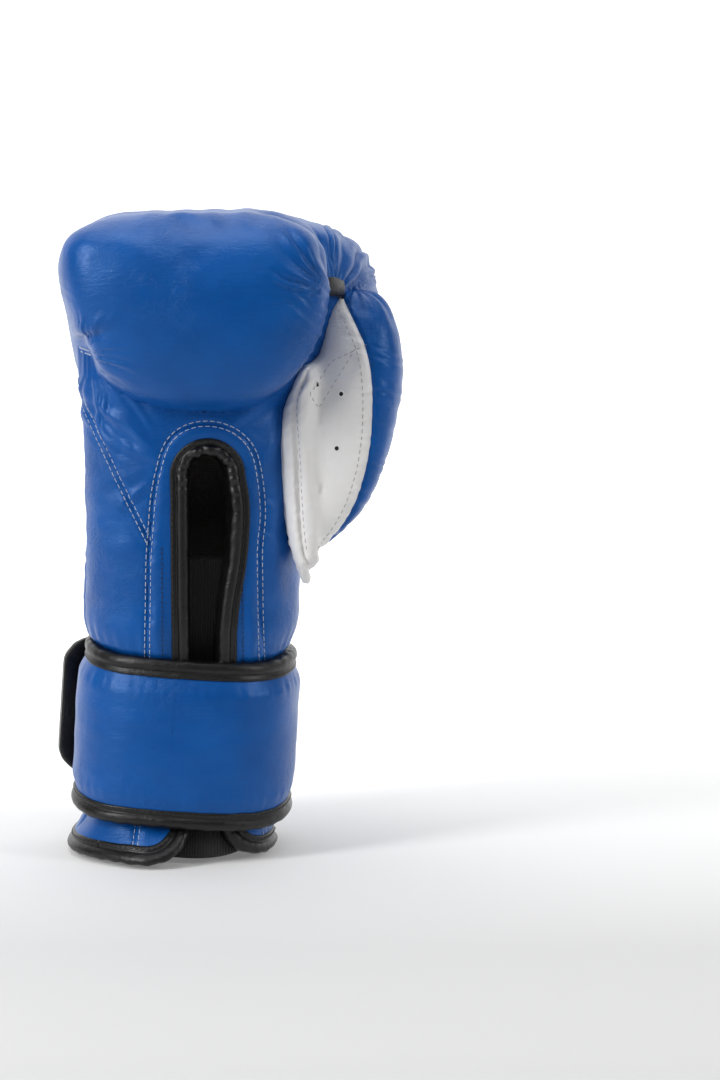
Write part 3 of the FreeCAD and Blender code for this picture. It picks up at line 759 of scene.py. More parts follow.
class Sleeve:
    """The leather round wrist and palm, before it is cut into panels."""

    def __init__(self):
        heights = np.concatenate([np.arange(0.6, 232, 1.15), [SLEEVE_TOP]])
        angles = np.linspace(0, 2 * math.pi, SLEEVE_COLUMNS, endpoint=False)
        grid_angle, grid_height = np.meshgrid(angles, heights)
        base = sleeve_point(grid_angle, grid_height).reshape(-1, 3)
        lift = flap_lift(base).reshape(grid_angle.shape)
        lifted = sleeve_point(grid_angle, grid_height, lift).reshape(-1, 3)
        self.faces = grid_faces(len(heights), SLEEVE_COLUMNS, True)
        x, y, z = base.T
        front = y < 0
        self.edge = np.where(front, side_of(free_outline(), x, z), z)
        self.facing = np.where(front, -side_of(facing_outline(), x, z), -200.0)
        self.diagonal = diagonal_side(x, z)
        self.side = SIDE_SEAM_Y * step(10, -30, x) - y
        self.points = lifted + normals_of(lifted, self.faces) * self.relief(base)[:, None]

    def relief(self, base):
        """Height of padding, seams and folds over the smooth sleeve."""
        x, y, z = base.T
        across = np.where(y < 0, x, 0)
        facing = self.facing
        palm_side = step(2, -8, y)
        height = 1.1 * cloud(base, 34, 1) + 0.35 * cloud(base, 13, 2)
        # Padding beside the facing's seam, and the swelling above the strap
        height += 1.0 * bump(facing, 5.0, 3.5) * palm_side
        above = strap_height(base) - STRAP_TOP
        height += 2.4 * step(-1.5, 4.0, above) * step(30, 9, above)
        height += 0.5 * bump(above, 5, 7.0) * waves(np.arctan2(y, x) * 6.5, 12)
        # Groove and puckers of the facing's seam
        height -= 0.9 * bump(facing, 0, 1.2) * palm_side
        height += 0.25 * bump(facing, 0, 5.0) * waves((z + 0.6 * across) / 7.5, 5) * palm_side
        # Groove and puckers of the diagonal seam
        crossing = bump(self.diagonal, 0, 1.2) * (facing < 0) * palm_side
        crossing *= step(226, 218, z) * step(-60, -52, x)
        height -= 0.9 * crossing
        puckers = waves((x + z) / 10, 6) * (x < DIAGONAL_END_X)
        height += 0.35 * bump(self.diagonal, 0, 6.0) * puckers * palm_side
        # Grooves of the side seams, with puckers on the little-finger side
        left = bump(self.side, 0, 1.5) * (x < 0)
        height -= 0.9 * left
        height += 0.3 * bump(self.side, 0, 6.0) * (x < 0) * waves(z / 8.5, 7)
        height -= 0.7 * bump(self.side, 0, 1.5) * (x > 0)
        # Folds that fan out from the palm's crease, and the long soft ones
        angle, reach = polar(x, z, PALM_CREASE)
        fan = 0.2 * cloud(base, 16, 8) - angle
        fan_mask = step(4, 14, reach) * step(56, 22, reach) * palm_side * step(0, -22, x)
        height += 1.3 * fan_mask * (gathers(fan * 3.6, 11, 0.9) - 0.5)
        height += self.soft_folds(base) * palm_side
        # Lower and smoother where the loop patch lies on the back
        under_patch = step(-6, 6, y) * step(106, 98, z)
        height = height * (1 - 0.7 * under_patch) - 1.3 * under_patch
        # No relief at the free edge, and the upper rims tucked under the fist's cover
        calm = step(6.5, 15, self.edge)
        tucked = 4.5 * step(227, 243, z) * step(-36, -46, x)
        tucked += 2.8 * step(138, 150.5, z) * step(SIDE_SEAM_Y - 2, SIDE_SEAM_Y + 3, y)
        tucked += 1.8 * step(SIDE_SEAM_Y - 7, SIDE_SEAM_Y - 0.5, y) * step(146, 154, z)
        return height * calm - tucked

    @staticmethod
    def soft_folds(base):
        """Height of the long soft folds where the palm's leather pulls."""
        x, _, z = base.T
        total = np.zeros(len(base))
        for fx, fz, slant, length, width, rise in SOFT_FOLDS:
            c, s = math.cos(math.radians(slant)), math.sin(math.radians(slant))
            along = (x - fx) * c + (z - fz) * s
            across = (z - fz) * c - (x - fx) * s + 0.004 * along**2
            ridge = bump(across, 0, width) - 0.55 * bump(across, -1.9 * width, width)
            total += rise * ridge * bump(along, 0, length)
        return total

    def build(self):
        """The four panels, each where all its fields are above 0, clear of the free edge."""
        x, _, z = self.points.T
        low_side = np.minimum(self.diagonal, DIAGONAL_END_X - x)
        outer = -self.facing
        panels = [
            ("facing_leather", (self.facing, self.side), ["slot_facing"]),
            ("side_leather", (low_side, outer, self.side, FIST_EDGE_Z - z),
             ["side_panel", "cuff_foam"]),
            ("palm_leather", (-low_side, outer, self.side), ["palm_panel", "palm_foam"]),
            ("back_leather", (-self.side, BACK_EDGE_Z - z), ["back_panel"]),
        ]
        for name, fields, replaced in panels:
            field = np.minimum(np.minimum.reduce(fields), self.edge - 3.0)
            (points,), faces = kept_side(self.points, self.faces, field)
            points, faces = shell(points, faces, 4.0)
            padded_piece(name, points, faces, "blue_leather", ["glove"], 0.7, *replaced)
        self.tree = tree_of(self.points, self.faces)


def shell(points, faces, thickness):
    """A surface given a thickness inwards, with its rim closed."""
    normal = normals_of(points, faces)
    count = len(points)
    both = np.concatenate([points, points - normal * thickness])
    made = faces + [[k + count for k in reversed(f)] for f in faces]
    seen = {}
    for face in faces:
        for a, b in zip(face, face[1:] + face[:1]):
            if (b, a) in seen:
                del seen[(b, a)]
            else:
                seen[(a, b)] = True
    made += [[b, a, a + count, b + count] for a, b in seen]
    return both, made


# ---- folded bindings ------------------------------------------------------------------------
# Section of a binding: distance in from the edge, and height over the outer face. A flat stitched
# lip, a groove, and then the padded roll that turns over the edge. The hidden side's heights are
# shares of the wall's depth.
ROLL_SHOWN = [(8.2, -0.9), (8.15, 0.45), (7.7, 0.8), (6.9, 0.85), (6.1, 0.7), (5.55, 0.2),
              (5.2, 0.35), (4.6, 1.25), (3.6, 1.95), (2.5, 2.15), (1.3, 1.9), (0.4, 1.2),
              (-0.25, 0.15)]
ROLL_HIDDEN = [(-0.55, 0.2), (-0.45, 0.5), (-0.55, 0.8), (-0.1, 1.0), (1.0, 1.09), (3.0, 1.1),
               (6.0, 1.07), (8.0, 1.0)]
LIP_STITCH = 6.9          # the stitches' distance in from the edge
BINDING_TOP = 8.6         # height over the hem that the binding covers


def roll_profile(depth, swell=1.0):
    """Distance in and height of every point round a binding over a wall of that depth."""
    shown = np.array(ROLL_SHOWN)
    hidden = np.array(ROLL_HIDDEN)
    inside = np.concatenate([shown[:, 0], hidden[:, 0]])
    height = np.concatenate([shown[:, 1] * swell, -hidden[:, 1] * depth])
    dense = resampled(np.stack([inside, height], 1), 0.55)[0]
    return dense[:, 0], dense[:, 1]


def edge_roll(place, along, profile, gather, stitch_height, seed):
    """Rings of a binding swept along an edge, and the line of its stitches.

    place(edge rows, distance in, height) gives the points, and gather says at each row how much
    the roll bunches up there."""
    inside, height = profile
    edge_rows = np.arange(len(along))
    rows = edge_rows[:, None] + np.zeros(len(inside), int)
    # 1 on the padded roll, and 1 where it turns over the edge
    on_roll = step(5.6, 3.6, inside) * step(-7.0, -1.0, height)
    on_nose = step(3.0, 0.0, inside) * step(-7.0, -1.0, height)
    folds = gathers(along / 4.6, seed + 3, 0.65) - 0.55
    fine = waves(along / 1.9, seed)
    lean = waves(along / 11.0, seed + 7)
    rise = 1.9 * gather[:, None] * folds[:, None] * on_roll
    rise = rise + 0.07 * fine[:, None] * on_roll
    sway = (0.9 * gather * folds + 0.22 * lean)[:, None] * on_nose
    drift = 0.12 * waves(along / 16.0, seed + 9)[:, None] * np.clip(inside / 8.2, 0, 1)
    rings = place(rows, inside[None, :] - sway + drift, height[None, :] + rise)
    return rings, place(edge_rows, LIP_STITCH, stitch_height)


def curvature(path):
    """How sharply a path turns at each point, in turns of one radian per 20 mm, smoothed."""
    ahead = np.gradient(path, axis=0)
    heading = np.unwrap(np.arctan2(ahead[:, 1], ahead[:, 0]))
    rate = np.abs(np.gradient(heading)) / np.linalg.norm(ahead, axis=1) * 20
    return blurred(rate[:, None], 8)[:, 0]


BACK_STEPS = 238          # rows of the hem's binding round the back of the wrist


def free_edge_binding():
    """Black leather folded over the hem and round the slot, gathered where the edge turns."""
    front, _ = resampled(free_outline(), 0.9)
    front = front[(front[:, 0] > -44) & (front[:, 0] < 33)]
    first_angle = front_angle(front[0, 0], 0.0)
    last_angle = front_angle(front[-1, 0], 0.0)
    round_back = np.linspace(last_angle, 2 * math.pi + first_angle, BACK_STEPS + 2)[1:-1]
    in_front = front_angle(front[:, 0], np.maximum(front[:, 1], 0))
    angle = np.concatenate([in_front, round_back])
    flat = np.concatenate([front, np.zeros((BACK_STEPS, 2))])
    into = blurred(left_of(unit(np.gradient(front, axis=0))), 2)
    into = np.concatenate([into, np.tile([0.0, 1.0], (BACK_STEPS, 1))])
    is_front = np.arange(len(flat)) < len(front)
    turning = np.concatenate([curvature(front), np.full(BACK_STEPS, 0.05)])
    length = lengths(sleeve_point(angle, flat[:, 1]))

    def place(row, inside, up):
        x = flat[row, 0] + inside * into[row, 0]
        z = flat[row, 1] + inside * into[row, 1]
        turn = np.where(is_front[row], front_angle(x, z), angle[row])
        lift = flap_lift(sleeve_point(turn, z).reshape(-1, 3)).reshape(turn.shape)
        return sleeve_point(turn, z, up + lift)

    gather = 0.04 + np.clip(turning, 0, 1.3) * (0.12 + 0.9 * step(150, 180, flat[:, 1]))
    rings, line = edge_roll(place, length, roll_profile(WALL + LINING_DEPTH), gather, 1.2, 21)
    count, around = rings.shape[:2]
    faces = [[k % (count * around) for k in f] for f in grid_faces(count + 1, around, True)]
    points = rings.reshape(-1, 3)
    padded_piece("edge_roll", points, faces, "black_leather", ["glove"], 0.7, "edge_binding")
    return line, tree_of(points, faces)


TONGUE_LEFT = -13.6
TONGUE_RIGHT = 28.0
TONGUE_TOP = 146.0
TONGUE_DEPTH = 11.1       # behind the sleeve's outer face
RIB_PITCH = 1.9


def tongue_sheet():
    """Ribbed stretch gusset behind the slot."""
    x = np.arange(TONGUE_LEFT, TONGUE_RIGHT, 0.27)
    z = np.arange(0.6, TONGUE_TOP, 2.0)
    gx, gz = np.meshgrid(x, z)
    ribs = 0.16 * np.abs(np.sin(math.pi * gx / RIB_PITCH)) ** 0.6
    sag = 1.6 * bump(gx, 7, 9) * (1 + 0.5 * waves(gz / 40, 31)) * step(20, 40, gz)
    belly = 11.0 * step(34, 3, gz) * bump(gx, 7, 22)
    cloth = sleeve_point(front_angle(gx, gz), gz, belly - TONGUE_DEPTH + ribs - sag)
    points, faces = shell(cloth.reshape(-1, 3), grid_faces(len(z), len(x), False), 1.0)
    obj = make_object("tongue_sheet", points, faces, ELASTIC)
    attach(obj, "glove")
    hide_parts("tongue")


# ---- stitches -------------------------------------------------------------------------------
def capsule(length, radius):
    """One stitch lying along x, with its ends dipping down z."""
    turn = circle(6)
    rings = []
    for t in np.linspace(-0.5, 0.5, 7):
        size = radius * math.sqrt(max(1 - (2 * abs(t)) ** 6, 0.04))
        dip = -radius * 1.6 * (2 * abs(t)) ** 4
        rings.append(np.stack([np.full(6, t * length), size * np.cos(turn),
                               dip + size * np.sin(turn)], 1))
    return capped_tube(np.array(rings))


def stitches(name, path, tree, carriers, material, pitch=3.3, length=2.7, radius=0.21, slant=0.0):
    """A row of stitches along a path, laid on the surface under it."""
    centres, _ = resampled(path, pitch)
    shape, shape_faces = capsule(length, radius)
    points, faces = [], []
    for k, (centre, direction) in enumerate(zip(centres, np.gradient(centres, axis=0))):
        spot, normal, _, _ = tree.find_nearest(Vector(centre))
        up = np.array(normal)
        forward = direction - up * (direction @ up)
        forward /= np.linalg.norm(forward)
        side = np.cross(up, forward)
        if slant:
            turn = math.radians(slant if k % 2 else -slant)
            forward, side = (forward * math.cos(turn) + side * math.sin(turn),
                             side * math.cos(turn) - forward * math.sin(turn))
        faces += [[i + len(points) * len(shape) for i in f] for f in shape_faces]
        points.append(np.array(spot) + up * radius * 0.55 + shape[:, :1] * forward
                      + shape[:, 1:2] * side + shape[:, 2:] * up)
    carry(make_object(name, np.concatenate(points), faces, material), *carriers)


def seen_from_palm(tree, x, z):
    """Point and normal where a surface shows at a front-view spot."""
    spot, normal, _, _ = tree.ray_cast(Vector((x, PALM_RAY_START, z)), Vector((0, 1, 0)))
    return spot, normal


def on_front(path, tree, spacing=1.0):
    """A front-view path dropped onto a surface from the palm side."""
    line, _ = resampled(path, spacing)
    spots = [seen_from_palm(tree, x, z)[0] for x, z in line.tolist()]
    return np.array([tuple(spot) for spot in spots if spot is not None])


def offset_path(path, distance):
    """A front-view path moved to the left of its own direction."""
    line, _ = resampled(path, 1.0)
    return line + left_of(unit(np.gradient(line, axis=0))) * distance


def palm_stitching(tree, roll_line, roll_tree):
    """Stitches of the palm: facing, diagonal seam, tongue and binding."""
    seam = facing_outline()
    seam = seam[seam[:, 1] > BINDING_TOP]
    for name, line, shift in (("facing_row_inner", seam, -SEAM_HALF_SPACING),
                              ("facing_row_outer", seam, SEAM_HALF_SPACING),
                              ("diagonal_row_upper", DIAGONAL, 1.3),
                              ("diagonal_row_lower", DIAGONAL, -1.3)):
        stitches(name, on_front(offset_path(line, shift), tree), tree, ["glove"], WHITE_THREAD)
    for name, x, top in (("tongue_row_left", -12.3, 150), ("tongue_row_right", 25.7, 141)):
        path = on_front([(x - 0.4, 30), (x, top)], tree)
        stitches(name, path, tree, ["glove"], NAVY_THREAD, 2.3, 2.0, 0.24, 16)
    stitches("binding_row", np.concatenate([roll_line, roll_line[:1]]), roll_tree, ["glove"],
             BLACK_THREAD, 3.0, 2.4, 0.26)


# ---- the fist -------------------------------------------------------------------------------
FIST_CREASE = (-49.0, 241.0)      # x and height of the crease at the fist's lower left corner
PLEAT_CENTRE = (70.0, 268.0)      # x and height that the pleats at the tie run to


def oval_rings(table, keys, blur, make):
    rows = sections(table, keys, blur)
    return np.array([make(key, row) for key, row in zip(keys, rows)])


def fist_rings():
    turn = circle(120)
    c, s = np.cos(turn), np.sin(turn)

    def ring(y, row):
        left, right, low, high, widest, power_low, power_high = row
        exponent = np.where(s > 0, power_high, power_low)
        x = (left + right) / 2 + (right - left) / 2 * power(c, 2 / exponent)
        z = widest + np.where(s > 0, high - widest, widest - low) * power(s, 2 / exponent)
        return np.stack([x, np.full_like(x, y), z], 1)

    return oval_rings(FIST, np.arange(-79, 63.7, 1.5), 2.0, ring)


def upper_sleeve():
    """The sleeve's upper half as a closed body, drawn back from the palm."""
    heights = np.arange(140, 262, 3.0)
    rings = sleeve_point(circle(120)[None, :], np.minimum(heights, 249)[:, None])
    rings[:, :, 2] = heights[:, None]
    y = rings[:, :, 1]
    drawn_back = y * (1 - 0.2 * bump(rings[:, :, 0], 4, 44))
    rings[:, :, 1] = np.where(y < 0, drawn_back, y)
    return rings


CLOTH_SCALE = 4           # the cloth is simulated at four times its size
CLOTH_FRAMES = 20


def inflated(points, faces, cap):
    """A closed padded skin after a short cloth simulation under pressure.

    No point moves further than cap."""
    mesh = new_mesh("cloth", points * TO_METRES * CLOTH_SCALE, faces)
    obj = bpy.data.objects.new("cloth", mesh)
    scene = bpy.context.scene
    scene.collection.objects.link(obj)
    modifier = obj.modifiers.new("cloth", "CLOTH")
    values = {"quality": 5, "use_pressure": True, "uniform_pressure_force": 5.0,
              "tension_stiffness": 25, "compression_stiffness": 25, "bending_stiffness": 1.5}
    for key, value in values.items():
        setattr(modifier.settings, key, value)
    modifier.settings.effector_weights.gravity = 0
    modifier.collision_settings.use_self_collision = False
    modifier.point_cache.frame_start = 1
    modifier.point_cache.frame_end = CLOTH_FRAMES
    for k in range(1, CLOTH_FRAMES + 1):
        scene.frame_set(k)
    graph = bpy.context.evaluated_depsgraph_get()
    result = obj.evaluated_get(graph)
    moved = np.zeros(len(points) * 3)
    result.data.vertices.foreach_get("co", moved)
    moved = moved.reshape(-1, 3) / TO_METRES / CLOTH_SCALE
    scene.frame_set(1)
    bpy.data.objects.remove(obj)
    bpy.data.meshes.remove(mesh)
    change = moved - points
    change -= np.median(change, axis=0)
    size = np.linalg.norm(change, axis=1)[:, None]
    return points + change * np.minimum(1, cap / np.maximum(size, 1e-6))


def swollen(points, faces, inset, cap):
    """A skin drawn in, swollen by the cloth simulation and made finer."""
    points = inflated(points - normals_of(points, faces) * inset, faces, cap)
    return subdivided(points, faces, 2)


def fist_surface():
    """The padded fist and the back of the hand, as one smooth closed skin."""
    front_and_rear = joined(capped_tube(fist_rings()), capped_tube(upper_sleeve()))
    points, faces = remeshed(*front_and_rear, 4.5)
    x, y, z = points.T
    blend_zone = step(-46, -30, y) + step(-38, -50, x) * step(-70, -50, y)
    blend_zone = np.clip(blend_zone, 0, 1) * step(280, 262, z)
    blend_zone *= 1 - 0.8 * step(45, 62, x)
    points = relaxed(points, faces, 4)
    points = relaxed(points, faces, 26, blend_zone)
    return swollen(points, faces, 1.6, 2.6)


def fist_relief(points):
    """Folds of the fist's leather: fans at the creases, pleats to the tie, and soft dents."""
    x, y, z = points.T
    height = 0.8 * cloud(points, 45, 3) + 0.25 * cloud(points, 17, 4)
    away = outside_sleeve(points)
    # Gathers where the overhanging front meets the palm
    lip = step(-30, -48, y) * step(12, 2, away) * step(262, 240, z) * step(-58, -44, x)
    height += 0.7 * lip * (gathers(x / 5.6, 41, 0.8) - 0.45)
    # Folds that fan out from the crease at the lower left corner
    angle, reach = polar(x, z, FIST_CREASE)
    angle = angle + 0.25 * cloud(points, 15, 5)
    ends = 30 + 16 * cloud(points, 20, 6)
    fan = step(3, 10, reach) * step(1, 0.35, reach / ends) * step(-25, -48, y)
    height += 1.5 * fan * (gathers(angle * 3.0, 43, 0.75) - 0.5)
    # Cross folds down both sides of the front
    side = step(-46, -58, x) * step(-10, -40, y) * step(285, 265, z)
    height += 0.5 * side * (gathers(z / 6.5 + 0.1 * x, 44, 0.9) - 0.5)
    right = step(42, 60, x) * step(-10, -38, y) * step(290, 270, z)
    height += 0.8 * right * (gathers((z + 0.9 * x) / 6.0, 47, 0.9) - 0.5)
    # Pleats that run to the tie, and a ripple along the top
    spoke, far = polar(x, z, PLEAT_CENTRE)
    spoke = spoke + 0.15 * cloud(points, 18, 7)
    pleats = step(3, 12, far) * step(48, 24, far) * step(262, 274, z) * step(34, 50, x)
    pleats *= step(40, 20, y)
    height += 2.3 * pleats * (gathers(spoke * 4.6, 53, 0.65) - 0.5)
    height += 0.4 * step(296, 306, z) * waves(x / 19, 57)
    # The crease itself: a dent, a fold line and the swelling over it
    height -= 3.6 * bump(np.hypot(x + 51, (z - 240) * 0.8), 0, 7.0) * step(-20, -36, y)
    height -= 1.6 * bump(z - 248 - 0.25 * (x + 52), 0, 2.0) * step(-28, -42, x) * step(-12, -30, y)
    height += 1.0 * bump(z - 253 - 0.3 * (x + 52), 0, 3.0) * step(-26, -40, x) * step(-12, -30, y)
    # Swelling over the seam on the back
    height += 0.6 * bump(z, 153, 4.0) * step(SIDE_SEAM_Y, SIDE_SEAM_Y + 3, y)
    return height


def fist():
    """The fist's leather above its seams, and the two bars sewn over the crease."""
    points, faces = fist_surface()
    points = points + normals_of(points, faces) * fist_relief(points)[:, None]
    _, y, z = points.T
    in_front = UNDER_FIST_Z + (FIST_EDGE_Z - UNDER_FIST_Z) * step(-30, SIDE_SEAM_Y, y)
    rise = step(SIDE_SEAM_Y, SIDE_SEAM_Y + 2, y)
    low = np.where(y > SIDE_SEAM_Y, FIST_EDGE_Z + (BACK_EDGE_Z - FIST_EDGE_Z) * rise, in_front)
    (points,), faces = kept_side(points, faces, z - low)
    padded_piece("fist_leather", points, faces, "blue_leather", ["glove"], 0.9,
                 "fist_cover", "fist_foam", "knuckle_foam")
    tree = tree_of(points, faces)
    bars = on_front([(-52.0, 243.6), (-47.2, 242.4)], tree, 0.5)
    for k, shift in enumerate((-1.2, 1.2)):
        stitches(f"crease_bar_{k + 1}", bars + np.array([0, 0, shift]), tree, ["glove"],
                 WHITE_THREAD, 2.0, 2.2, 0.34)


# ---- the thumb ------------------------------------------------------------------------------
def thumb_rings():
    turn = circle(100)
    c, s = np.cos(turn), np.sin(turn)

    def ring(z, row):
        inner, outer, front, back = row
        exponent = np.where(s > 0, 2.3, 2.5)
        middle, half = (inner + outer) / 2, (outer - inner) / 2
        y = (front + back) / 2 + (back - front) / 2 * power(s, 2 / exponent)
        x = middle + half * power(c, 2 / exponent)
        x = x - THUMB_SHEAR * (y - (front + back) / 2) * 0.5
        return np.stack([x, y, np.full_like(x, z)], 1)

    return oval_rings(THUMB, np.arange(146, 274.1, 1.5), 2.0, ring)


def gusset_rings():
    """The soft white roll that fills the gap between palm and thumb."""
    turn = circle(48)

    def ring(z, row):
        left, right = row
        reach = GUSSET_REACH * min(1, (right - left) / 9)
        x = (left + right) / 2 + (right - left) / 2 * power(np.cos(turn), 0.85)
        return np.stack([x, GUSSET_Y + reach * np.sin(turn), np.full(48, z)], 1)

    return oval_rings(GUSSET, np.arange(131, 241.1, 1.2), 3.0, ring)


def thumb_relief(points, seam, root):
    """Seams, puckers and cross folds. seam and root are distances from the thumb's two seams."""
    x, y, z = points.T
    height = 0.7 * cloud(points, 26, 61) + 0.22 * cloud(points, 10, 62)
    shown = step(-8, -18, y)
    # Groove and puckers of the seam between blue and white, and folds across the blue
    height -= 1.1 * bump(seam, 0, 1.2) * shown
    height += 0.4 * bump(seam, 2.5, 4.0) * waves(z / 4.6, 63) * shown
    outer = step(0, -3, seam) * step(-26, -9, seam) * shown
    height += 0.55 * outer * (gathers((z + 0.35 * x) / 8.5, 65, 0.9) - 0.5)
    # Groove, swelling and puckers of the seam at the root
    height -= 2.0 * bump(root, 0, 1.4) * shown * step(238, 228, z)
    height += 0.8 * bump(root, 3.2, 2.2) * shown * step(236, 222, z)
    height += 0.35 * bump(root, 0, 5.0) * waves((z - x) / 7.0, 66) * shown
    # Gathers round the tip
    tip = step(250, 268, z)
    height += 0.5 * tip * waves(np.arctan2(y + 14, x - 79) * 2.4, 67)
    return height


def thumb():
    """The padded thumb and the roll at its root, cut from one skin along their seams."""
    thumb_and_roll = joined(capped_tube(thumb_rings()), capped_tube(gusset_rings()))
    points, faces = remeshed(*thumb_and_roll, 2.8)
    points = relaxed(points, faces, 9, step(134, 168, points[:, 2]))
    points, faces = swollen(points, faces, step(140, 165, points[:, 2:]), 1.8)
    x, y, z = points.T
    seam_y = THUMB_SEAM_Y - 9.0 * step(170, 150, z)
    seam = np.minimum(seam_at(THUMB_SEAM, z) - x, seam_y - y)
    root = x - seam_at(GUSSET_SEAM, z)
    relief = thumb_relief(points, seam, root)
    points = points + normals_of(points, faces) * relief[:, None]
    tree = tree_of(points, faces)
    at_root = ["glove", "thumb", (43, GUSSET_Y, 190), (53, GUSSET_Y, 190)]
    for name, field, slot, carriers, replaced in (
            ("thumb_leather", np.minimum(-seam, root), "blue_leather", ["thumb"],
             ["thumb_cover", "thumb_foam"]),
            ("thumb_white", np.minimum(seam, root), "white_leather", ["thumb"], ["thumb_panel"]),
            ("gusset_leather", -root, "white_leather", at_root, ["thumb_gusset"])):
        (part,), part_faces = kept_side(points, faces, field)
        part, part_faces = shell(part, part_faces, 1.6)
        padded_piece(name, part, part_faces, slot, carriers, 0.9, *replaced)
    thumb_stitching(tree)
    return tree


def thumb_stitching(tree):
    """Grey rows along the thumb's seam, round its pocket and along its root."""
    along_seam = np.linspace(150, 262, 90)
    along_root = np.linspace(150, 226, 60)
    pocket = [(83.8, 245.9), (67.8, 238.1), (57.8, 222.7), (61.9, 216.1), (79.1, 243.9)]
    rows = {
        "thumb_row": np.stack([seam_at(THUMB_SEAM, along_seam) - 4.7, along_seam], 1),
        "thumb_pocket_row": pocket,
        "thumb_root_row": np.stack([seam_at(GUSSET_SEAM, along_root) + 1.6, along_root], 1),
    }
    for name, row in rows.items():
        stitches(name, on_front(row, tree), tree, ["thumb"], GREY_THREAD, 3.4, 2.4, 0.16)


def tie():
    """Black keeper strap from the fist to the thumb's tip."""
    t = np.linspace(0, 1, 30)
    middle = np.stack([63 + 11 * t, -42 + 17 * t + 5 * (2 * t - 1) ** 2,
                       271.5 + 2.2 * np.sin(math.pi * t)], 1)
    profile = [(4.4 * power(math.cos(turn), 0.45), 1.5 * power(math.sin(turn), 0.8))
               for turn in circle(28)]
    rings = []
    for k, point in enumerate(middle):
        crease = 1 + 0.08 * math.sin(k * 1.7)
        rings.append([point + np.array([0.25 * b, -b * 0.95, a * crease + 0.2 * b])
                      for a, b in profile])
    points, faces = subdivided(*capped_tube(np.array(rings)), 1)
    carriers = ["glove", "thumb", (64, -28, 270), (74, -25, 270)]
    padded_piece("tie_leather", points, faces, "black_leather", carriers, 0.6, "thumb_tie")


# ---- the strap ------------------------------------------------------------------------------
class StrapPath:
    """The strap's inner face seen from above, by length along it, as in the CAD model."""

    def __init__(self):
        share = np.linspace(0, 1, 601)
        turn = np.radians(STRAP_START + (STRAP_END - STRAP_START) * share)
        room = STRAP_GAP + STRAP_SPIRAL * share
        x = (STRAP_HALF_WIDTH + room) * power(np.cos(turn), 2 / WRIST_POWER)
        y = (STRAP_HALF_DEPTH + room) * power(np.sin(turn), 2 / WRIST_POWER)
        path = np.stack([x, y], 1)
        heading = path[-1] - path[-4]
        heading /= np.linalg.norm(heading)
        self.wrapped = np.linalg.norm(np.diff(path, axis=0), axis=1).sum()
        ahead = np.linspace(0, TAB_STRAIGHT, 61)[1:, None]
        path = np.concatenate([path, path[-1] + heading * ahead])
        path, self.length = resampled(path, 0.5)
        self.path = blurred(path, 4)
        along = unit(blurred(np.gradient(self.path, axis=0), 4))
        self.normal = -left_of(along)
        self.total = self.length[-1]

    def place(self, s, z, depth):
        """Points at length s, height z and depth outside the strap's inner face."""
        s, z, depth = np.broadcast_arrays(*(np.asarray(v, float) for v in (s, z, depth)))
        depth = depth - STRAP_DRAW_IN * step(82, STRAP_TOP, z)
        low = np.minimum(s, 0)
        at = np.clip(s, 0, self.total)
        x, y = (np.interp(at, self.length, self.path[:, k]) for k in range(2))
        nx, ny = (np.interp(at, self.length, self.normal[:, k]) for k in range(2))
        x = x + nx * depth + ny * low
        y = y + ny * depth + nx * low
        up = z - STRAP_DIP * step(-4, -42, y) - STRAP_PIVOT[2]
        c, sn = math.cos(STRAP_LEAN), math.sin(STRAP_LEAN)
        return np.stack([c * x + sn * up + STRAP_PIVOT[0], y,
                         c * up - sn * x + STRAP_PIVOT[2]], -1)


STRAP = StrapPath()
TAB_START = STRAP.wrapped - TAB_ON_WRAP
SEGMENT = TAB_START / STRAP_SEGMENTS
OVERLAP = 0.3             # how far each stretch reaches under the next
ANCHOR_START = -8.0       # the sewn-on end starts this far before the first fold
FACE_INSET = 5.0          # the face's edges lie this far in, under the binding
TAB_FACE_GAP = 3.2        # and this far from the tab's end
FACE_STEP = 1.1           # between two rows of a face
ROW_STEP = 1.3            # between two rows of a binding
ANCHOR_BEND_REACH = 5.0   # the ends of a bend, unused by carry(), lie this far on both sides of the first fold
BEND_REACH = 9.0          # and of every other fold


def tab_span(s):
    """Lowest and highest z of the strap at length s: it narrows and rounds off at the tab's end."""
    back = STRAP.total - np.asarray(s, float)
    shoulder = TAB_STRAIGHT + TAB_ON_WRAP / 2
    taper = np.clip((shoulder - back) / (shoulder - TAB_RADIUS), 0, 1)
    low = STRAP_BOTTOM + (TAB_BOTTOM - STRAP_BOTTOM) * taper
    high = STRAP_TOP + (TAB_TOP - STRAP_TOP) * taper
    into = np.clip(TAB_RADIUS - back, 0, TAB_RADIUS)
    rise = TAB_RADIUS - np.sqrt(TAB_RADIUS**2 - into**2)
    return low + rise, high - rise


def strap_stations(start, end, spacing):
    count = int(math.ceil((end - start) / spacing))
    inner = np.linspace(start, end, count + 1)
    return np.concatenate([[start - OVERLAP], inner, [end + OVERLAP]])


def strap_grid(stations, rows):
    """Lengths, heights, shares of the width and distances to an edge of a stretch's face."""
    s = stations[:, None]
    low, high = tab_span(s)
    v = np.linspace(0, 1, rows)[None, :]
    z = low + FACE_INSET + (high - low - 2 * FACE_INSET) * v
    return s + 0 * v, z, v, np.minimum(v, 1 - v) * (high - low)


def cloud_grid(points, size, seed):
    return cloud(points.reshape(-1, 3), size, seed).reshape(points.shape[:2])


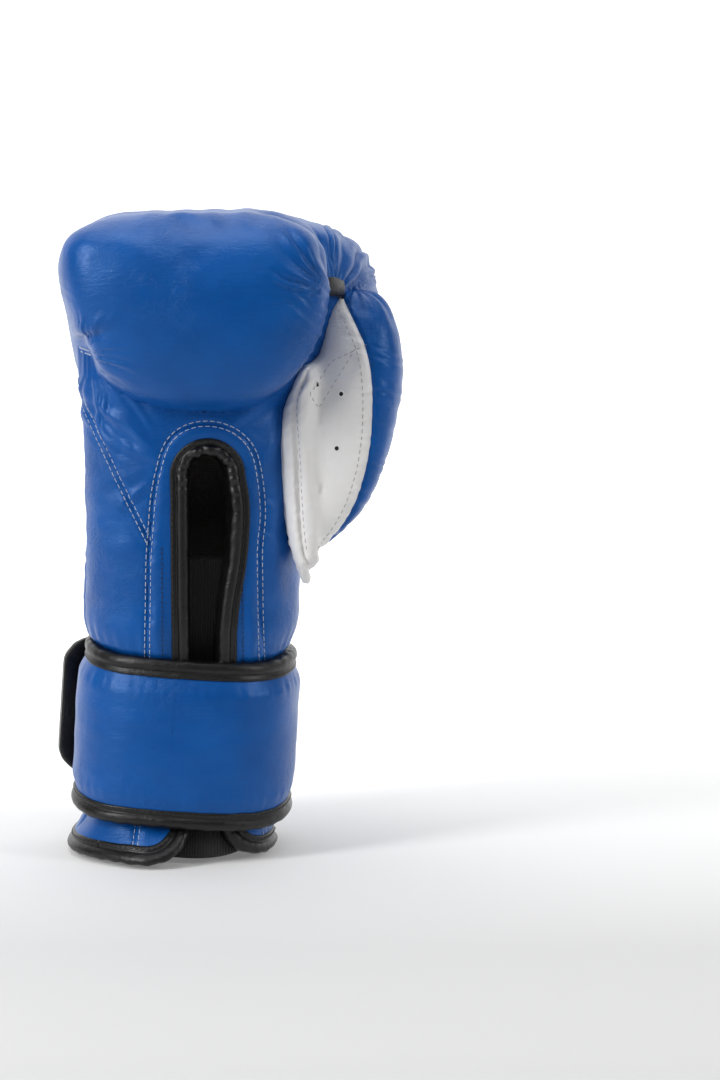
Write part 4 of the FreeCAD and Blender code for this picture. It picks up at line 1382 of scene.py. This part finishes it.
def strap_face(stations):
    """The padded outer face of one stretch."""
    s, z, v, edge = strap_grid(stations, 72)
    points = STRAP.place(s, z, 0)
    level = np.stack([s / 2.6, z, 0 * z + 3.0], -1)
    uneven = 0.6 * cloud_grid(points, 24, 81) + 0.2 * cloud_grid(points * [1, 1, 0.5], 9, 82)
    uneven = uneven + 0.35 * cloud_grid(level, 9, 87)
    uneven = uneven + 0.3 * np.exp(-((edge - 8) / 5.0) ** 2) * waves(s[:, :1] / 7.0, 83)
    soft = step(2, 12, edge)
    crown = 1.2 * (1 - np.abs(2 * v - 1) ** 3.2)
    return STRAP.place(s, z, STRAP_THICK - 1.0 + 1.1 * soft + crown + uneven * soft)


def strap_inside(stations):
    s, z, _, _ = strap_grid(stations, 30)
    return STRAP.place(s, z, 0.15)


def edge_path(start, end, top):
    """Rows of (s, z) along one edge of the strap between two lengths, without the tab's end."""
    s = strap_stations(start, end, ROW_STEP)
    low, high = tab_span(s)
    return np.stack([s, high if top else low], 1)


def tab_edge(start):
    """Rows of (s, z) along the bottom edge, round the tab's end and back along the top edge."""
    corner = STRAP.total - TAB_RADIUS
    s = np.arange(start, corner, ROW_STEP)
    low, high = tab_span(s)
    bottom = np.stack([s, low], 1)
    top = np.stack([s, high], 1)[::-1]
    first = arc((corner, TAB_BOTTOM + TAB_RADIUS), TAB_RADIUS, -90, 0, 20)
    last = arc((corner, TAB_TOP - TAB_RADIUS), TAB_RADIUS, 0, 90, 20)
    loop, _ = resampled(np.concatenate([bottom, first, last, top]), 1.2)
    ends = [[[start - OVERLAP, loop[k, 1]]] for k in (0, -1)]
    return np.concatenate([ends[0], blurred(loop, 2), ends[1]])


def strap_roll(path, left, seed, capped):
    """Binding over one edge of the strap. left tells on which side of the path the strap lies."""
    into = left_of(unit(np.gradient(path, axis=0))) * (1 if left else -1)
    length = lengths(path) + path[0, 0]
    turning = curvature(path) if len(path) > 60 else np.zeros(len(path))
    gather = 0.03 + 0.2 * np.clip(turning, 0, 1.2)

    def place(row, inside, up):
        s = path[row, 0] + inside * into[row, 0]
        z = path[row, 1] + inside * into[row, 1]
        return STRAP.place(s, z, STRAP_THICK - 0.5 + up)

    profile = roll_profile(STRAP_THICK - 0.2, 0.8)
    rings, line = edge_roll(place, length, profile, gather, 1.0, seed)
    if capped:
        points, faces = capped_tube(rings)
    else:
        points, faces = rings.reshape(-1, 3), grid_faces(len(rings), rings.shape[1], True)
    return points, faces, line


def strap():
    """Every stretch of the strap, each reaching over one fold, without bending there."""
    middles = [SEGMENT * (k + 0.5) for k in range(STRAP_SEGMENTS)]
    starts = [ANCHOR_START] + middles
    ends = middles + [STRAP.total]
    bodies = ["glove"] + [f"strap_{k + 1}" for k in range(STRAP_SEGMENTS)] + ["strap_tab"]
    for k in range(STRAP_SEGMENTS + 1):
        strap_stretch(k, starts[k], ends[k], bodies[k], bodies[k + 1])


def strap_stretch(k, start, end, body, following):
    """Face, lining, bindings and stitches of one stretch; the bend between its two bodies is not
    made, and the pieces go on no body.
    """
    last = k == STRAP_SEGMENTS
    fold = TAB_START if last else SEGMENT * k
    reach = BEND_REACH if k else ANCHOR_BEND_REACH
    centre = 0.5 * (STRAP_BOTTOM + STRAP_TOP)
    bend = STRAP.place(np.array([fold - reach, fold + reach]), centre, 0)
    carriers = [body, following, *bend]
    replaced = [f"strap_{part}_{k}" for part in ("back", "pad", "face", "binding")]
    if k == 0:
        replaced = ["strap_anchor"]
    if last:
        replaced += ["tab_back", "tab_pad", "tab_face"]
    stations = strap_stations(start, end - (TAB_FACE_GAP if last else 0), FACE_STEP)
    if last:
        stations = stations[:-1]
    face = strap_face(stations)
    points = face.reshape(-1, 3)
    faces = [f[::-1] for f in grid_faces(*face.shape[:2], False)]
    if k == 0:
        points, faces = shell(points, faces, 1.2)
    padded_piece(f"strap_face_{k}x", points, faces, "blue_leather", carriers, 0.7, *replaced)
    inside = strap_inside(stations[::3] if last else stations)
    lining = make_object(f"strap_lining_{k}x", inside.reshape(-1, 3),
                         grid_faces(*inside.shape[:2], False), STRAP_LINING)
    carry(lining, *carriers)
    if last:
        rolls = [("strap_roll_tab", "tab_row", strap_roll(tab_edge(start), True, 91, False))]
    else:
        rolls = [(f"strap_roll_{side}_{k}x", f"strap_row_{side}_{k}x",
                  strap_roll(edge_path(start, end, top), not top, 93 + top, k == 0))
                 for side, top in (("low", False), ("high", True))]
    bound = ["tab_binding"] if last else []
    for name, _, (points, faces, _) in rolls:
        padded_piece(name, points, faces, "black_leather", carriers, 0.7, *bound)
    for _, name, (points, faces, line) in rolls:
        row = line if last else line[1:-1]
        stitches(name, row, tree_of(points, faces), carriers, BLACK_THREAD, 3.0, 2.4, 0.24)


# ---- vents ----------------------------------------------------------------------------------
# Section of a vent's ring: radius, and height over the leather
VENT_SECTION = [(1.9, -0.25), (1.65, 0.22), (1.3, 0.28), (1.05, 0.05), (1.0, -0.9)]
# The dark disc of painted shade in each hole: radius, and height over the leather
VENT_HOLE = (1.05, 0.02)


def vents(name, spots, tree, body, ring_material):
    """Small pressed rings round the ventilation holes, with a dark disc of painted shade over each
    hole.
    """
    turn = circle(24)
    rings, holes, faces, hole_faces = [], [], [], []
    for x, z in spots:
        spot, normal = seen_from_palm(tree, x, z)
        up = np.array(normal)
        side = np.cross(up, [0, 0, 1.0])
        side /= np.linalg.norm(side)
        outward = np.cos(turn)[:, None] * side + np.sin(turn)[:, None] * np.cross(up, side)
        *section, hole = [np.array(spot) + radius * outward + up * height
                          for radius, height in VENT_SECTION + [VENT_HOLE]]
        faces += [[i + len(rings) * len(turn) for i in f] for f in grid_faces(5, 24, True)]
        hole_faces.append([i + len(holes) * len(turn) for i in range(len(turn))])
        rings += section
        holes.append(hole)
    carry(make_object(name, np.concatenate(rings), faces, ring_material), body)
    # The dark discs are painted shade of the holes
    carry(make_object(name + "_hole_shade", np.concatenate(holes), hole_faces, VENT_SHADE), body)


# ---- stage ----------------------------------------------------------------------------------
CAMERA_PLACE = (81.5, -1250, 272)     # in millimetres round the wrist axis
CAMERA_TILT = 84.42                   # 5.58 degrees down from level
CAMERA_LENS = 85.33
FLOOR_Z = -0.0022                     # metres: the binding's lowest folds stand on it


def camera():
    data = bpy.data.cameras.new("camera")
    data.lens = CAMERA_LENS
    data.sensor_width = 36
    data.sensor_fit = "AUTO"
    obj = bpy.data.objects.new("camera", data)
    obj.location = to_row(CAMERA_PLACE)
    obj.rotation_euler = (math.radians(CAMERA_TILT), 0, 0)
    bpy.context.scene.collection.objects.link(obj)
    bpy.context.scene.camera = obj


def lamp(name, place, aim_height, size, watts):
    """A white rectangular lamp that looks at a height on the row frame's z axis, in metres."""
    data = bpy.data.lights.new(name, "AREA")
    data.shape = "RECTANGLE"
    data.size, data.size_y = size
    data.energy = watts
    obj = bpy.data.objects.new(name, data)
    obj.location = place
    aim = Vector((0, 0, aim_height)) - Vector(place)
    obj.rotation_euler = aim.to_track_quat("-Z", "Y").to_euler()
    bpy.context.scene.collection.objects.link(obj)
    return obj


def paper():
    """Matt paper, greyer towards the camera as painted shade, that glows to white behind the glove.
    """
    m = Nodes("paper")
    where = m.add("ShaderNodeSeparateXYZ")
    m.join(m.place(), where.inputs["Vector"])
    depth = m.span(where.outputs["Y"], 0.0, 1.0, -1.2, 1.2)
    # Painted shade: the paper's colour is greyer towards the camera
    m.color(depth, 0.0, 0.36, (0.30, 0.30, 0.30), (0.70, 0.70, 0.70))
    glow = m.ramp(depth, 0.42, 0.8, (0.0, 0.0, 0.0), (1.0, 1.0, 1.0))
    m.join(glow, m.shader.inputs["Emission Color"])
    m.bumps([(m.noise(800.0, 2.0), 0.05, 0.0002)])
    m.set(Emission_Strength=0.9, Roughness=0.8, Specular_IOR_Level=0.2)
    return m.material


def studio():
    """A floor that curves up into a backdrop, four soft lamps and a dim white sky."""
    profile = [(-3.0, 0.0), (1.2, 0.0)]
    for t in np.linspace(0, math.pi / 2, 24):
        profile.append((1.2 + 0.8 * math.sin(t), 0.8 - 0.8 * math.cos(t)))
    profile.append((2.0, 4.0))
    points = np.array([[x, y, z] for y, z in profile for x in (-4.0, 4.0)])
    mesh = new_mesh("floor", points, grid_faces(len(profile), 2, False))
    mesh.polygons.foreach_set("use_smooth", [True] * len(mesh.polygons))
    mesh.materials.append(paper())
    floor = bpy.data.objects.new("floor", mesh)
    floor.location.z = FLOOR_Z
    bpy.context.scene.collection.objects.link(floor)
    lamps = [
        lamp("key", (-1.1, -0.75, 0.85), 0.18, (0.35, 1.1), 15.5),
        lamp("fill", (1.3, -0.6, 0.8), 0.15, (0.4, 0.9), 6.5),
        lamp("front", (0.2, -2.3, 1.5), 0.16, (0.8, 0.8), 2.2),
        lamp("top", (-0.1, -0.1, 1.5), 0.15, (1.2, 0.7), 8),
    ]
    world = bpy.data.worlds.new("world")
    bpy.context.scene.world = world
    world.use_nodes = True
    background = world.node_tree.nodes["Background"]
    background.inputs["Color"].default_value = (1, 1, 1, 1)
    background.inputs["Strength"].default_value = 0.14
    bpy.context.scene.view_settings.view_transform = "Standard"


def build():
    dress_cad_nodes()
    sleeve = Sleeve()
    sleeve.build()
    roll_line, roll_tree = free_edge_binding()
    tongue_sheet()
    palm_stitching(sleeve.tree, roll_line, roll_tree)
    fist()
    thumb_tree = thumb()
    tie()
    strap()
    vents("palm_vents", [(8, 215.5), (13, 221), (-2, 219)], sleeve.tree, "glove", BLUE)
    vents("thumb_vents", [(61.3, 227.4), (72.6, 223.1), (70.5, 197.3)], thumb_tree, "thumb", WHITE)


build()
camera()
studio()
